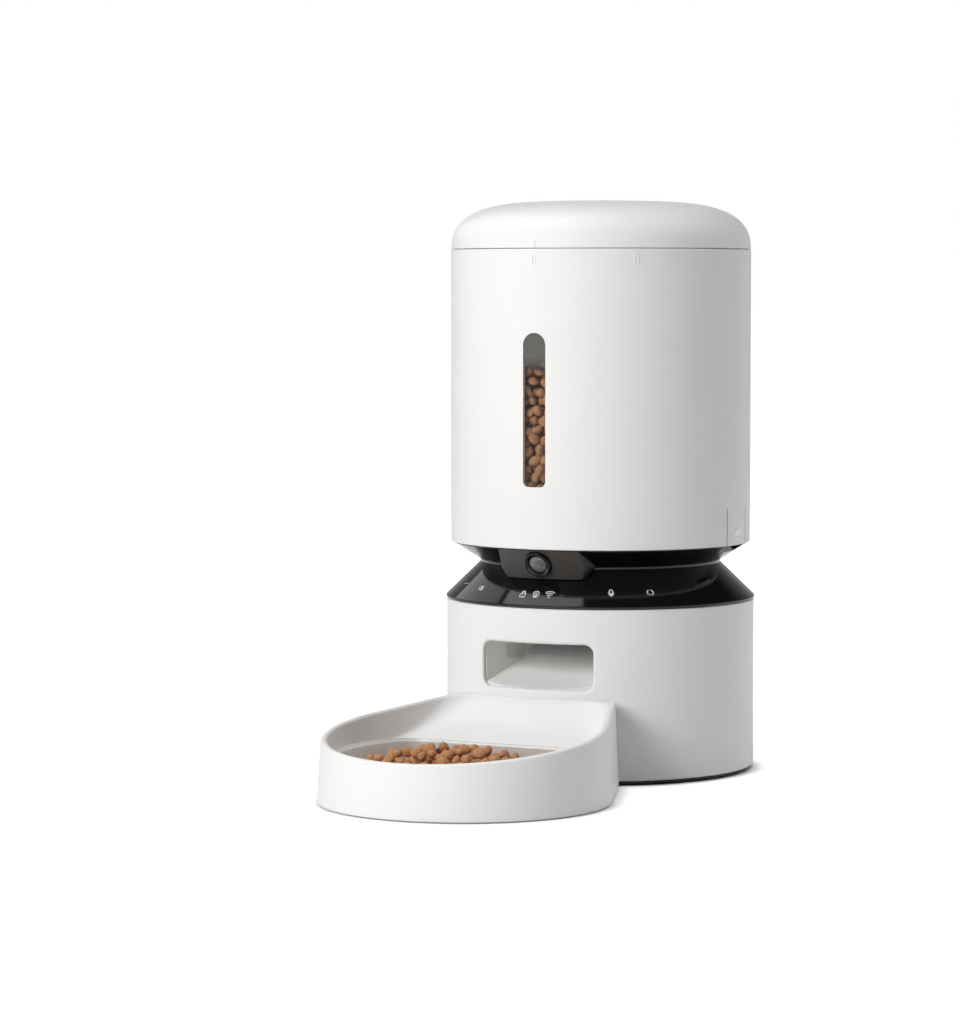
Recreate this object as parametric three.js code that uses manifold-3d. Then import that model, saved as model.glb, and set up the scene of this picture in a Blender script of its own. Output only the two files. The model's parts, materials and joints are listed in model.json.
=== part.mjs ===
// Camera pet feeder: a round base with a camera neck, a lift-off food tank above it, a twist-off lid
// and a feeding tray with a steel bowl in front.
// Millimetres, +Z up, the front faces -Y. Pieces are drawn about the upright axis of the base, with
// the floor at zero, and the whole is then moved so that the origin lies below its middle.

import * as THREE from 'three';
import { mergeVertices } from 'three/addons/utils/BufferGeometryUtils.js';
import Module from 'manifold-3d';

// Clearances and the overrun of every cut
const seatGap = 0.3;
const slideGap = 0.4;
const turnGap = 0.3;
const cutOver = 1;
const weldTolerance = 1e-4;

// How finely round stretches are divided
const shellSides = 40;
const smallSides = 16;
const tinySides = 8;
const arcSteps = 3;
const edgeSteps = 2;

// Base: outer shell, bottom pan and feet
const baseRadius = 95;
const baseHeight = 105.4;
const shellWall = 3;
const shellEdgeRound = 0.8;
const panStand = 0.8;
const panFlange = 1.7;
const panFloor = 2.5;
const panRim = 7.2;
const panRimWall = 1.8;
const panInset = 1;
const footLength = 20;
const footWidth = 8;
const footSink = 1.2;
const footInset = 7;
const footAngle = 53;
const bossInset = 10;
const bossRadius = 4;
const bossTop = 26;
const bossAngle = 32;
const screwRadius = 1.4;
const screwHead = 3;
const bossRibShare = 2.2;
const screwHeadHeight = 1.4;
const screwLength = 14;

// Food mouth in the front of the base, its chute and the two light windows in the chute walls
const mouthWidth = 74;
const mouthBottom = 56.3;
const mouthTop = 84.6;
const mouthCorner = 6;
const mouthRound = 1.6;
const mouthPieces = 8;
const chuteWall = 2.2;
const chuteStep = 0.4;
const chuteSpread = 3;
const chuteWaistSpread = 7;
const chuteWaistSet = 3;
const rampSet = 9;
const rampRound = 40;
const rampRise = 18;
const rampBackRise = 42;
const sensorWidth = 16;
const sensorHeight = 9;
const sensorCorner = 2.5;
const sensorThick = 1.2;
const sensorFront = 66;
const sensorLow = 72;

// Back of the base: sound slots with the speaker behind them, and the power socket
const speakerRadius = 17;
const speakerDepth = 9;
const speakerHeight = 72;
const speakerSeat = 2;
const speakerMagnetShare = 0.6;
const speakerFlareShare = 0.75;
const speakerRimShare = 0.85;
const speakerCapShare = 0.4;
const speakerConeShare = 0.7;
const speakerInset = 19;
const soundSlots = 5;
const soundSlotPitch = 5.4;
const soundSlotWidth = 2.2;
const soundSlotLength = 17;
const jackHeight = 16;
const jackHole = 4.2;
const jackBore = 2.9;
const jackDepth = 9;
const jackLength = 13;
const jackBody = 11;
const jackPin = 0.9;

// Backup cells below the chute
const cellRadius = 17;
const cellLength = 61.5;
const cellNub = 4.75;
const cellNubLength = 1.6;
const cellGap = 0.6;
const cellCount = 3;
const boxWall = 2;
const contactThick = 0.8;
const contactRadius = 9;
const contactStrip = 6;
const doorThick = 2;
const doorLip = 1.2;
const doorRidgeShare = 0.9;
const bayCentre = 14;

// Circuit board on the roof of the cell box
const boardWidth = 70;
const boardLength = 50;
const boardThick = 1.6;
const boardStand = 4;
const boardPost = 3;
const boardCentre = 24;
const chipSize = 12;
const chipHeight = 2;
const canWidth = 18;
const canHeight = 5;

// Neck: the glossy control ring below the waist and the collar above it
const waistInset = 20.6;
const waistRise = 22.4;
const ringProud = 0.5;
const ringShoulder = 1.45;
const ringRound = 0.9;
const ringWall = 2.4;
const ringSkirt = 6.6;
const ringSkirtWall = 2.2;
const collarLip = 1;
const collarBand = 1.3;
const collarBandRound = 1.6;
const collarRimInset = 1.3;
const collarRise = 12.2;
const collarWall = 2.4;
const spigotRise = 8.2;
const deckRise = 0.5;
const deckThick = 2.5;
const touchRingWidth = 33;
const touchRingThick = 1.6;
const touchRingDrop = 2.1;
const touchRingPlay = 0.55;
const touchRingHalfAngle = 60;

// Camera in the front of the neck
const camTopDrop = 0.2;
const camBottomDrop = 5.6;
const camFaceInset = 8.6;
const camLensRise = 3.6;
const camTilt = 28.2;
const camHalfWidth = 26.6;
const camSideFlare = 10;
const camDepthInset = 28;
const camCorner = 4;
const camWall = 2.2;
const camBezelRadius = 8.6;
const camBezelFront = 8.3;
const camBezelProud = 2.2;
const camBezelSeat = 0.8;
const camBezelCore = 6.6;
const camBezelLength = 7;
const camConeOuter = 7.3;
const camConeInner = 5.4;
const camConeDepth = 2;
const lensRiseShare = 0.8;
const camBoardWidth = 34;
const camBoardHeight = 8;
const camBoardThick = 1.4;
const camBoardDrop = 3.5;
const micHole = 0.45;

// Gear train below the deck, from the motor to the food wheel
const gearModule = 1.25;
const pressureAngle = 25;
const addendumShare = 0.75;
const dedendumShare = 1.1;
const gearBacklash = 0.22;
const outputTeeth = 26;
const clusterSmallTeeth = 8;
const clusterLargeTeeth = 22;
const pinionTeeth = 8;
const gearWidth = 4.5;
const gearStep = 1.5;
const gearFloorLift = 2;
const gearCaseWall = 1.8;
const gearCaseFloor = 2;
const gearCaseDepth = 17.6;
const gearCoverThick = 2.4;
const outputShaft = 4;
const pivotPin = 1.5;
const pivotLength = 1.6;
const motorRadius = 12;
const motorLength = 36;
const motorShaft = 1;
const motorBoss = 3;
const motorBossHeight = 1.5;
const motorBore = 5;
const hexRadius = 6.2;
const hexHeight = 11.5;
const hexSocket = 0.4;
const couplingCore = 2.6;

// Food tank: shell, window, funnel and food wheel
const tankInset = 2.6;
const tankWall = 2.5;
const tankHeight = 179.5;
const tankFootRound = 1;
const tankFootWall = 3.3;
const tankRimRound = 0.7;
const funnelRise = 20;
const ledgeThick = 2;
const ledgeReach = 1.8;
const windowWidth = 14.8;
const windowLift = 7.7;
const windowDrop = 50.1;
const windowCorner = 3.5;
const windowGap = 0.25;
const funnelFlange = 2;
const funnelWall = 2.2;
const funnelLift = 0.9;
const wheelRoom = 52;
const roomWall = 2.2;
const roomFloor = 2.2;
const outletInner = 24;
const outletOuter = 49;
const outletHalf = 19;
const outletCorner = 4;
const wheelPaddles = 6;
const paddleThick = 3;
const paddleHeight = 15.6;
const paddleGap = 1.2;
const hubRadius = 10.5;
const hubCap = 8;
const stirrerRadius = 1.8;
const stirrerReach = 24;
const stirrerRise = 20;
const baffleThick = 1.8;
const baffleLift = 0.6;
const baffleHalfAngle = 42;

// Release tabs in both sides of the tank foot
const tabHalfAngle = 8;
const tabDrop = 7;
const tabSlit = 0.8;
const tabMarkProud = 0.35;
const tabMarkWidth = 13;
const tabMarkHeight = 4.8;
const tabMarkLift = 6.3;
const tabBarHeight = 1;
const tabBarLift = 4;
const notchHalf = 15;
const notchDepth = 6.5;
const notchDrop = 5.4;
const notchSlope = 5;

// Lid: cover, liner, seal and the desiccant holder below it
const lidInset = 0.2;
const lidHeight = 29.3;
const lidGap = 0.4;
const lidWall = 2.3;
const lidShoulderShare = 4.32;
const lidCrownShare = 2.4;
const lidSteps = 8;
const lidInnerSteps = 4;
const lidMarkWidth = 0.8;
const lidMarkHeight = 4.6;
const markSinkShare = 0.333;
const markProud = 0.3;
const lockTurn = 38.7;
const tankMarkWidth = 2.5;
const tankMarkHeight = 6.4;
const tankMarkDrop = 3.4;
const tankMarkLine = 0.5;
const linerWall = 2.2;
const linerSkirt = 15;
const linerRise = 4.4;
const linerPlay = 1.7;
const sealWidth = 2.6;
const sealGroove = 1.1;
const sealHeight = 3;
const stopHeight = 6;
const stopWidth = 3;
const stopReach = 1.2;
const stopLugWidth = 4;
const dryCupRadius = 33;
const dryCupWall = 2;
const dryCupDepth = 13;
const dryDoorThick = 2;
const dryDoorRim = 7;
const dryDoorWall = 1.8;
const drySlots = 7;
const drySlotWidth = 2.4;
const drySlotPitch = 6.4;
const drySlotLength = 30;
const dryPackHeight = 9;
const dryTwistRib = 1.2;

// Feeding tray
const trayGap = 0.6;
const trayRadius = 84.1;
const trayReach = 87.6;
const traySideTurn = 112;
const trayCorner = 10;
const trayFrontHeight = 31.8;
const trayBackHeight = 51.7;
const trayStand = 0.8;
const trayFootInset = 0.6;
const trayFootRise = 2.2;
const trayWall = 2.6;
const lipWidth = 4;
const lipRound = 1.6;
const lipUnder = 3.8;
const trayFloorUnder = 2.2;
const trayFloorTop = 4.4;
const bowlSeat = 27;
const bowlStep = 1.6;
const bowlInset = 6.2;
const bowlSet = 36;
const bowlCorner = 14;
const wellInset = 11.4;
const wellRound = 4;
const apronShares = [[0.15, 0.26], [0.45, 0.62], [0.8, 0.9]];
const frontSteps = 11;
const sideSteps = 1;
const cornerSteps = 3;
const rearSteps = 4;
const hookPlace = 28;
const hookWidth = 12;
const hookThick = 3;
const hookHeight = 13;
const hookReach = 14;
const padRadius = 6;
const padPlaceX = 38;
const padPlaceY = 32;

// Steel bowl
const steel = 0.8;
const bowlEdgeInset = 6.6;
const bowlBead = 0.5;
const bowlWallInset = 12;
const bowlRound = 7;
const bowlTurnShare = 0.3;

// Heights and radii that follow from the sizes above
const rad = THREE.MathUtils.degToRad;
const flatShare = Math.cos(Math.PI / shellSides);
const smallFlatShare = Math.cos(Math.PI / smallSides);
const panBottom = panStand;
const panTop = panBottom + panFlange;
const panDeck = panBottom + panFloor;
const shellBottom = panTop + seatGap;
const shellInner = baseRadius - shellWall;
const footCircle = baseRadius - footInset;
const bossCircle = baseRadius - bossInset;
const speakerStand = baseRadius - speakerInset;
const waistRadius = baseRadius - waistInset;
const waistHeight = baseHeight + waistRise;
const tankRadius = baseRadius - tankInset;
const lidRadius = tankRadius - lidInset;
const tankFootInner = tankRadius - tankFootWall;
const ringRadius = baseRadius + ringProud;
const ringBottom = baseHeight + seatGap;
const ringTop = waistHeight - seatGap / 2;
const collarBottom = waistHeight + seatGap / 2;
const collarRimRadius = tankRadius - collarRimInset;
const collarRimHeight = waistHeight + collarRise;
const spigotTop = collarRimHeight + spigotRise;
const spigotRadius = tankFootInner - slideGap;
const notchLow = collarRimHeight - notchDrop;
const deckTop = waistHeight + deckRise;
const deckBottom = deckTop - deckThick;
const camFaceTop = collarRimHeight - camTopDrop;
const camFaceBottom = waistHeight - camBottomDrop;
const camFaceRadius = baseRadius - camFaceInset;
const camLensHeight = waistHeight + camLensRise;
const camBack = baseRadius - camDepthInset;
const touchRingInner = baseRadius - touchRingWidth;
const tankBottom = collarRimHeight + seatGap;
const tankTop = tankBottom + tankHeight;
const tankInner = tankRadius - tankWall;
const chuteNarrow = outletHalf + chuteSpread;
const chuteWaistHalf = outletHalf + chuteWaistSpread;
const chuteWaistDepth = outletOuter - chuteWaistSet;
const rampShoulder = outletOuter - rampSet;
const roomBottom = deckTop + seatGap;
const roomDeck = roomBottom + roomFloor;
const wheelBottom = roomDeck + turnGap;
const hubTop = wheelBottom + paddleHeight + baffleLift + baffleThick;
const funnelFoot = hubTop + funnelLift;
const ledgeHeight = funnelFoot + funnelRise;
const ledgeTop = ledgeHeight + ledgeThick;
const windowBottom = ledgeHeight + windowLift;
const windowTop = tankTop - windowDrop;
const tabTop = ledgeHeight - tabDrop;
const tabMarkLow = tankBottom + tabMarkLift;
const tabBarLow = tankBottom + tabBarLift;
const funnelRim = ledgeTop + seatGap + funnelFlange;
const lidBottom = tankTop + lidGap;
const stopLow = lidBottom + linerRise - linerSkirt - stopHeight / 2;
const trayRearRadius = baseRadius + trayGap;
const trayCentre = baseRadius + trayReach;
const trayFront = -trayCentre - trayRadius;
const bowlRear = baseRadius + bowlSet;
const cellPitch = 2 * cellRadius + cellGap;
const doorTop = panBottom + seatGap + doorThick;
const cellHeight = doorTop + slideGap + cellRadius;
const bayHalfWidth = cellPitch + cellRadius + slideGap;
const bayHalfLength = cellLength / 2 + 2 * seatGap + contactThick;
const bayTop = cellHeight + cellRadius + seatGap;
const bayRoof = bayTop + boxWall;
const gearCaseTop = deckBottom - seatGap - gearCoverThick - seatGap;
const gearCaseBottom = gearCaseTop - gearCaseDepth - gearCaseFloor;
const clusterPlace = gearModule * (outputTeeth + clusterSmallTeeth) / 2;
const motorPlace = clusterPlace + gearModule * (clusterLargeTeeth + pinionTeeth) / 2;

// Materials
const plastic = (color, roughness) => new THREE.MeshStandardMaterial({ color, roughness, metalness: 0 });
const metal = (color, roughness) => new THREE.MeshStandardMaterial({ color, roughness, metalness: 1 });
const white = plastic(0xf1f0ee, 0.42);
const innerWhite = plastic(0xe9e8e6, 0.5);
const glossBlack = plastic(0x0b0b0c, 0.08);
const mattBlack = plastic(0x17181a, 0.5);
const smoke = plastic(0x77736d, 0.12);
const lensGlass = plastic(0x1b1d22, 0.04);
const rubber = plastic(0x3a3a3b, 0.85);
const silicone = plastic(0xd8d8d6, 0.6);
const gearPlastic = plastic(0xe6e2d6, 0.45);
const greenBoard = plastic(0x1f5b3a, 0.5);
const cellJacket = plastic(0x2c3038, 0.4);
const brushedSteel = metal(0xc9c8c6, 0.25);
const screwSteel = metal(0x9b9b9d, 0.35);
const motorSteel = metal(0xb4b5b7, 0.3);
const contactMetal = metal(0xd2cfc4, 0.3);

// Solid tools
const wasm = await Module();
wasm.setup();

function enclosedVolume(corners, faces) {
  const [a, b, c] = [new THREE.Vector3(), new THREE.Vector3(), new THREE.Vector3()];
  let sum = 0;
  for (let i = 0; i < faces.length; i += 3) {
    a.fromArray(corners, 3 * faces[i]);
    b.fromArray(corners, 3 * faces[i + 1]);
    c.fromArray(corners, 3 * faces[i + 2]);
    sum += a.dot(b.cross(c));
  }
  return sum;
}

// Welds a closed geometry, drops its flat triangles and turns its faces outwards.
function solid(geometry) {
  const bare = new THREE.BufferGeometry();
  bare.setAttribute('position', geometry.getAttribute('position').clone());
  if (geometry.index) bare.setIndex(geometry.index.clone());
  const welded = mergeVertices(bare, weldTolerance);
  const corners = welded.getAttribute('position').array;
  const faces = [];
  for (let i = 0; i < welded.index.count; i += 3) {
    const face = [0, 1, 2].map((k) => welded.index.getX(i + k));
    if (new Set(face).size === face.length) faces.push(...face);
  }
  if (enclosedVolume(corners, faces) < 0) faces.reverse();
  return new wasm.Manifold(new wasm.Mesh({
    numProp: 3, vertProperties: new Float32Array(corners), triVerts: new Uint32Array(faces),
  }));
}

const join = (first, ...others) => others.reduce((whole, piece) => whole.add(piece), first);
const cut = (body, ...tools) => tools.reduce((whole, tool) => whole.subtract(tool), body);
const common = (first, ...others) => others.reduce((whole, piece) => whole.intersect(piece), first);

// Replaces each corner [x, y, radius] of an outline by an arc of that radius.
function rounded(corners, steps = arcSteps) {
  const outline = [];
  corners.forEach(([x, y, radius], i) => {
    const here = new THREE.Vector2(x, y);
    if (!radius) {
      outline.push(here);
      return;
    }
    const before = new THREE.Vector2(...corners.at(i - 1)).sub(here).normalize();
    const after = new THREE.Vector2(...corners[(i + 1) % corners.length]).sub(here).normalize();
    const half = Math.acos(THREE.MathUtils.clamp(before.dot(after), -1, 1)) / 2;
    const centre = before.clone().add(after).setLength(radius / Math.sin(half)).add(here);
    const start = before.setLength(radius / Math.tan(half)).add(here).sub(centre);
    const end = after.setLength(radius / Math.tan(half)).add(here).sub(centre);
    const sweep = Math.atan2(start.cross(end), start.dot(end));
    for (let k = 0; k <= steps; k += 1) {
      outline.push(start.clone().rotateAround(new THREE.Vector2(), sweep * k / steps).add(centre));
    }
  });
  return outline;
}

const rectangle = (left, low, right, high, radius, steps = arcSteps) => rounded([
  [left, low, radius], [right, low, radius], [right, high, radius], [left, high, radius],
], steps);

// Turns a closed outline of [radius, height] points about the upright axis.
function revolve(outline, sides = shellSides) {
  const points = outline.map((point) => (point.isVector2 ? point : new THREE.Vector2(...point)));
  if (points[0].x > 0 || points.at(-1).x > 0) points.push(points[0].clone());
  return solid(new THREE.LatheGeometry(points, sides).rotateX(Math.PI / 2));
}

function extrusion(outline, depth) {
  const points = outline.map((point) => (point.isVector2 ? point : new THREE.Vector2(...point)));
  const shape = new THREE.Shape(points);
  return new THREE.ExtrudeGeometry(shape, { depth, bevelEnabled: false });
}

// Prisms of an outline in the XY, YZ or XZ plane.
const prism = (outline, low, high) => solid(extrusion(outline, high - low).translate(0, 0, low));

function prismX(outline, left, right) {
  const turn = new THREE.Matrix4().makeBasis(
    new THREE.Vector3(0, 1, 0), new THREE.Vector3(0, 0, 1), new THREE.Vector3(1, 0, 0));
  return solid(extrusion(outline, right - left).applyMatrix4(turn).translate(left, 0, 0));
}

function prismY(outline, near, far) {
  const turn = new THREE.Matrix4().makeBasis(
    new THREE.Vector3(1, 0, 0), new THREE.Vector3(0, 0, 1), new THREE.Vector3(0, -1, 0));
  return solid(extrusion(outline, far - near).applyMatrix4(turn).translate(0, far, 0));
}

function block(left, near, low, right, far, high) {
  const box = new THREE.BoxGeometry(right - left, far - near, high - low);
  return solid(box.translate((left + right) / 2, (near + far) / 2, (low + high) / 2));
}

function rod(x, y, radius, low, high, sides = smallSides) {
  const cylinder = new THREE.CylinderGeometry(radius, radius, high - low, sides).rotateX(Math.PI / 2);
  return solid(cylinder.translate(x, y, (low + high) / 2));
}

function rodY(x, z, radius, near, far, sides = smallSides) {
  const cylinder = new THREE.CylinderGeometry(radius, radius, far - near, sides);
  return solid(cylinder.translate(x, (near + far) / 2, z));
}

const tube = (outer, inner, low, high, sides = shellSides) => revolve(
  [[inner, low], [outer, low], [outer, high], [inner, high]], sides);

// Places a solid by a rotation about the upright axis, in degrees from the front towards +X.
const turned = (piece, angle) => piece.rotate([0, 0, angle]);

// Closes a stack of equal rings of points into one body, with a fan over each end.
function skin(rings) {
  const count = rings[0].length;
  const points = rings.flat();
  const faces = [];
  for (let k = 0; k < rings.length - 1; k += 1) {
    for (let i = 0; i < count; i += 1) {
      const [a, b] = [k * count + i, k * count + (i + 1) % count];
      faces.push(a, b, b + count, a, b + count, a + count);
    }
  }
  const added = (ring) => ring.reduce((sum, point) => sum.add(point), new THREE.Vector3());
  const middle = (ring) => added(ring).divideScalar(count);
  points.push(middle(rings[0]), middle(rings.at(-1)));
  for (let i = 0; i < count; i += 1) {
    const next = (i + 1) % count;
    const top = (rings.length - 1) * count;
    faces.push(next, i, points.length - 2, top + i, top + next, points.length - 1);
  }
  const geometry = new THREE.BufferGeometry().setFromPoints(points);
  geometry.setIndex(faces);
  return solid(geometry);
}

const feeder = new THREE.Group();

function add(name, material, piece) {
  const { vertProperties, triVerts } = piece.getMesh();
  const geometry = new THREE.BufferGeometry();
  geometry.setAttribute('position', new THREE.BufferAttribute(new Float32Array(vertProperties), 3));
  geometry.setIndex(new THREE.BufferAttribute(new Uint32Array(triVerts), 1));
  geometry.computeVertexNormals();
  const mesh = new THREE.Mesh(geometry, material);
  mesh.name = name;
  feeder.add(mesh);
}

// Splits the long edges of an outline into equal lengths that stay below a limit.
function divided(outline, limit) {
  return outline.flatMap((point, i) => {
    const next = outline[(i + 1) % outline.length];
    const count = Math.ceil(point.distanceTo(next) / limit);
    return Array.from({ length: count }, (_, k) => point.clone().lerp(next, k / count));
  });
}

// A rounded opening through the front wall, wrapped round the base, that flares at the outer edge.
function mouthCutter() {
  const middle = (mouthTop + mouthBottom) / 2;
  const outline = divided(
    rectangle(-mouthWidth / 2, mouthBottom, mouthWidth / 2, mouthTop, mouthCorner), mouthWidth / mouthPieces);
  const ring = (grow, depthAt) => outline.map((point) => {
    const x = point.x * (1 + 2 * grow / mouthWidth);
    const height = middle + (point.y - middle) * (1 + 2 * grow / (mouthTop - mouthBottom));
    return new THREE.Vector3(x, depthAt(x), height);
  });
  const wrapped = (radius) => (x) => -Math.sqrt(radius ** 2 - x ** 2);
  const turn = rad(45);
  return skin([
    ring(0, () => -shellInner + mouthWidth / 3),
    ring(0, wrapped(baseRadius - mouthRound)),
    ring(mouthRound * (1 - Math.cos(turn)), wrapped(baseRadius - mouthRound * (1 - Math.sin(turn)))),
    ring(mouthRound, wrapped(baseRadius)),
    ring(mouthRound, () => -baseRadius - cutOver),
  ]);
}

const placesAround = [bossAngle, 180 - bossAngle, 180 + bossAngle, 360 - bossAngle];
const footPlaces = [footAngle, 180 - footAngle, 180 + footAngle, 360 - footAngle];

function makeBaseShell() {
  const wall = revolve(rounded([
    [shellInner, shellBottom], [baseRadius, shellBottom, shellEdgeRound],
    [baseRadius, baseHeight, shellEdgeRound], [shellInner, baseHeight],
  ], edgeSteps));
  const bossFoot = panDeck + seatGap;
  const bosses = placesAround.map((angle) => turned(join(
    rod(0, -bossCircle, bossRadius, bossFoot, bossTop, tinySides),
    block(-screwRadius, -shellInner - shellWall / 2, panTop + panRim + seatGap,
      screwRadius, -bossCircle - bossRibShare * screwRadius, bossTop),
  ), angle));
  const bossHoles = placesAround.map((angle) => turned(
    rod(0, -bossCircle, screwRadius + seatGap, bossFoot - cutOver, bossFoot + screwLength, tinySides),
    angle));
  const speakerRing = common(
    cut(
      rodY(0, speakerHeight, speakerRadius + slideGap + speakerSeat, speakerStand, baseRadius),
      rodY(0, speakerHeight, speakerRadius + slideGap, speakerStand - cutOver, baseRadius + cutOver)),
    rod(0, 0, shellInner + shellWall / 2, 0, baseHeight, shellSides));
  const slots = Array.from({ length: soundSlots }, (_, i) => {
    const x = (i - (soundSlots - 1) / 2) * soundSlotPitch;
    const half = soundSlotLength / 2 - Math.abs(i - (soundSlots - 1) / 2) * soundSlotWidth / 2;
    return prismY(rectangle(x - soundSlotWidth / 2, speakerHeight - half, x + soundSlotWidth / 2,
      speakerHeight + half, soundSlotWidth / 3, 1), shellInner - shellWall, baseRadius + cutOver);
  });
  const hookSlots = [-1, 1].map((side) => block(
    side * hookPlace - hookWidth / 2 - slideGap, -baseRadius - cutOver, hookHeight - slideGap,
    side * hookPlace + hookWidth / 2 + slideGap, -baseRadius + 2 * hookReach,
    hookHeight + hookThick + slideGap));
  const jack = rodY(0, jackHeight, jackHole, shellInner - shellWall, baseRadius + cutOver);
  return cut(join(wall, ...bosses, speakerRing), ...bossHoles, ...slots, ...hookSlots, jack, mouthCutter());
}

function footOutline(grow) {
  return rectangle(-footLength / 2 - grow, -footCircle - footWidth / 2 - grow,
    footLength / 2 + grow, -footCircle + footWidth / 2 + grow, footWidth / 2 + grow - 1e-3);
}

function makeBasePan() {
  const rimOuter = shellInner - seatGap;
  const plate = revolve([
    [0, panBottom], [baseRadius - panInset - panStand, panBottom],
    [baseRadius - panInset, panBottom + panStand],
    [baseRadius - panInset, panTop], [rimOuter, panTop], [rimOuter, panTop + panRim],
    [rimOuter - panRimWall, panTop + panRim], [rimOuter - panRimWall, panDeck], [0, panDeck],
  ]);
  const box = block(-bayHalfWidth - boxWall, bayCentre - bayHalfLength - boxWall, panBottom + panStand,
    bayHalfWidth + boxWall, bayCentre + bayHalfLength + boxWall, bayRoof);
  const bay = block(-bayHalfWidth, bayCentre - bayHalfLength, panDeck,
    bayHalfWidth, bayCentre + bayHalfLength, bayTop);
  const hatch = block(-bayHalfWidth + doorLip, bayCentre - bayHalfLength + doorLip, 0,
    bayHalfWidth - doorLip, bayCentre + bayHalfLength - doorLip, panDeck + cutOver);
  const posts = boardPosts().map(([x, y]) => rod(x, y, boardPost, bayTop, bayRoof + boardStand, tinySides));
  const feet = footPlaces.map((angle) => turned(
    prism(footOutline(seatGap), 0, panBottom + footSink), angle));
  const holes = placesAround.map((angle) => turned(join(
    rod(0, -bossCircle, screwRadius + seatGap, 0, panDeck + cutOver, tinySides),
    rod(0, -bossCircle, screwHead + seatGap, 0, panBottom + screwHeadHeight, tinySides),
  ), angle));
  return cut(join(plate, box, ...posts), bay, hatch, ...feet, ...holes);
}

function boardPosts() {
  const [halfX, halfY] = [boardWidth / 2 - boardPost, boardLength / 2 - boardPost];
  return [[-halfX, -halfY], [halfX, -halfY], [-halfX, halfY], [halfX, halfY]]
    .map(([x, y]) => [x, boardCentre + y]);
}

function makePanScrew() {
  const headBottom = panBottom - seatGap / 2;
  const headTop = panBottom + screwHeadHeight - seatGap;
  return join(
    rod(0, -bossCircle, screwHead, headBottom, headTop, tinySides),
    rod(0, -bossCircle, screwRadius, headTop - seatGap, headTop + screwLength, tinySides));
}

function makeBatteryDoor() {
  const half = bayHalfWidth - doorLip - slideGap;
  const near = bayCentre - bayHalfLength + doorLip + slideGap;
  const far = bayCentre + bayHalfLength - doorLip - slideGap;
  const plate = prism(rectangle(-half, near, half, far, doorLip), panBottom + seatGap, doorTop);
  const grip = rod(0, near + 2 * contactRadius, contactRadius, 0, panBottom + seatGap + doorThick / 2);
  const ridge = block(-contactStrip, near + 2 * contactRadius - doorThick / 2, panBottom + seatGap,
    contactStrip, near + 2 * contactRadius + doorThick / 2, panBottom + seatGap + doorThick * doorRidgeShare);
  return join(cut(plate, grip), ridge);
}

function makeCell(x, flip) {
  const half = cellLength / 2;
  const profile = rounded([
    [0, -half], [cellRadius, -half, cellNubLength / 2], [cellRadius, half - cellNubLength],
    [cellNub, half - cellNubLength], [cellNub, half], [0, half],
  ], 2);
  return revolve(profile, smallSides).rotate([flip ? 90 : -90, 0, 0]).translate([x, bayCentre, cellHeight]);
}

// A strip with three round faces that touches the ends of the cells.
function makeContacts(near) {
  const faces = [-1, 0, 1].map((i) => rodY(
    i * cellPitch, cellHeight, contactRadius, near, near + contactThick));
  const strip = block(-cellPitch, near, cellHeight - contactStrip / 2,
    cellPitch, near + contactThick, cellHeight + contactStrip / 2);
  return join(strip, ...faces);
}

// The space inside the chute, or its outside when it is grown by the wall.
function chuteVolume(grow, mouthDepth) {
  const half = mouthWidth / 2 - chuteStep + grow;
  const narrow = chuteNarrow + grow;
  const plan = [
    [-half, -mouthDepth], [half, -mouthDepth], [half, -shellInner + 2 * chuteWall],
    [chuteWaistHalf + grow, -chuteWaistDepth], [narrow, -outletInner + grow],
    [-narrow, -outletInner + grow], [-chuteWaistHalf - grow, -chuteWaistDepth],
    [-half, -shellInner + 2 * chuteWall],
  ];
  const floor = mouthBottom + chuteStep - grow;
  const side = [
    [-mouthDepth, floor], [-baseRadius + 2 * mouthRound, floor], [-rampShoulder, floor + rampRise],
    [-outletInner + grow, floor + rampBackRise], [-outletInner + grow, deckBottom - seatGap],
    [-outletOuter - grow, deckBottom - seatGap], [-outletOuter - grow, mouthTop - chuteStep + grow],
    [-mouthDepth, mouthTop - chuteStep + grow],
  ];
  side[2].push(rampRound);
  return common(
    prism(plan, mouthBottom - mouthCorner, deckBottom + cutOver),
    prismX(rounded(side), -half - cutOver, half + cutOver),
    prismY(rectangle(-half, floor, half, deckBottom + 2 * mouthCorner, mouthCorner + grow), -mouthDepth, 0));
}

function sensorPocket(side, grow) {
  const outline = rectangle(-sensorFront - grow, sensorLow - grow,
    -sensorFront + sensorWidth + grow, sensorLow + sensorHeight + grow, sensorCorner + grow);
  const halfMouth = mouthWidth / 2 - chuteStep;
  const lean = Math.atan2(halfMouth - chuteWaistHalf, shellInner - 2 * chuteWall - chuteWaistDepth);
  const wallAtFront = halfMouth - (shellInner - 2 * chuteWall - sensorFront) * Math.tan(lean);
  const panel = prismX(outline, grow > 0 ? -cutOver : 0, sensorThick + grow)
    .translate([0, sensorFront, 0])
    .rotate([0, 0, THREE.MathUtils.radToDeg(lean)])
    .translate([wallAtFront, -sensorFront, 0]);
  return side > 0 ? panel : panel.mirror([1, 0, 0]);
}

function makeChute() {
  const outside = common(chuteVolume(chuteWall, baseRadius),
    rod(0, 0, shellInner - seatGap, 0, deckBottom - seatGap, shellSides));
  const inside = chuteVolume(0, baseRadius + cutOver);
  const topHole = prism(outletOutline(0), mouthTop, deckBottom + cutOver);
  return cut(outside, inside, topHole);
}

function outletOutline(grow) {
  return rectangle(-outletHalf - grow, -outletOuter - grow, outletHalf + grow, -outletInner + grow,
    outletCorner);
}

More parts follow.
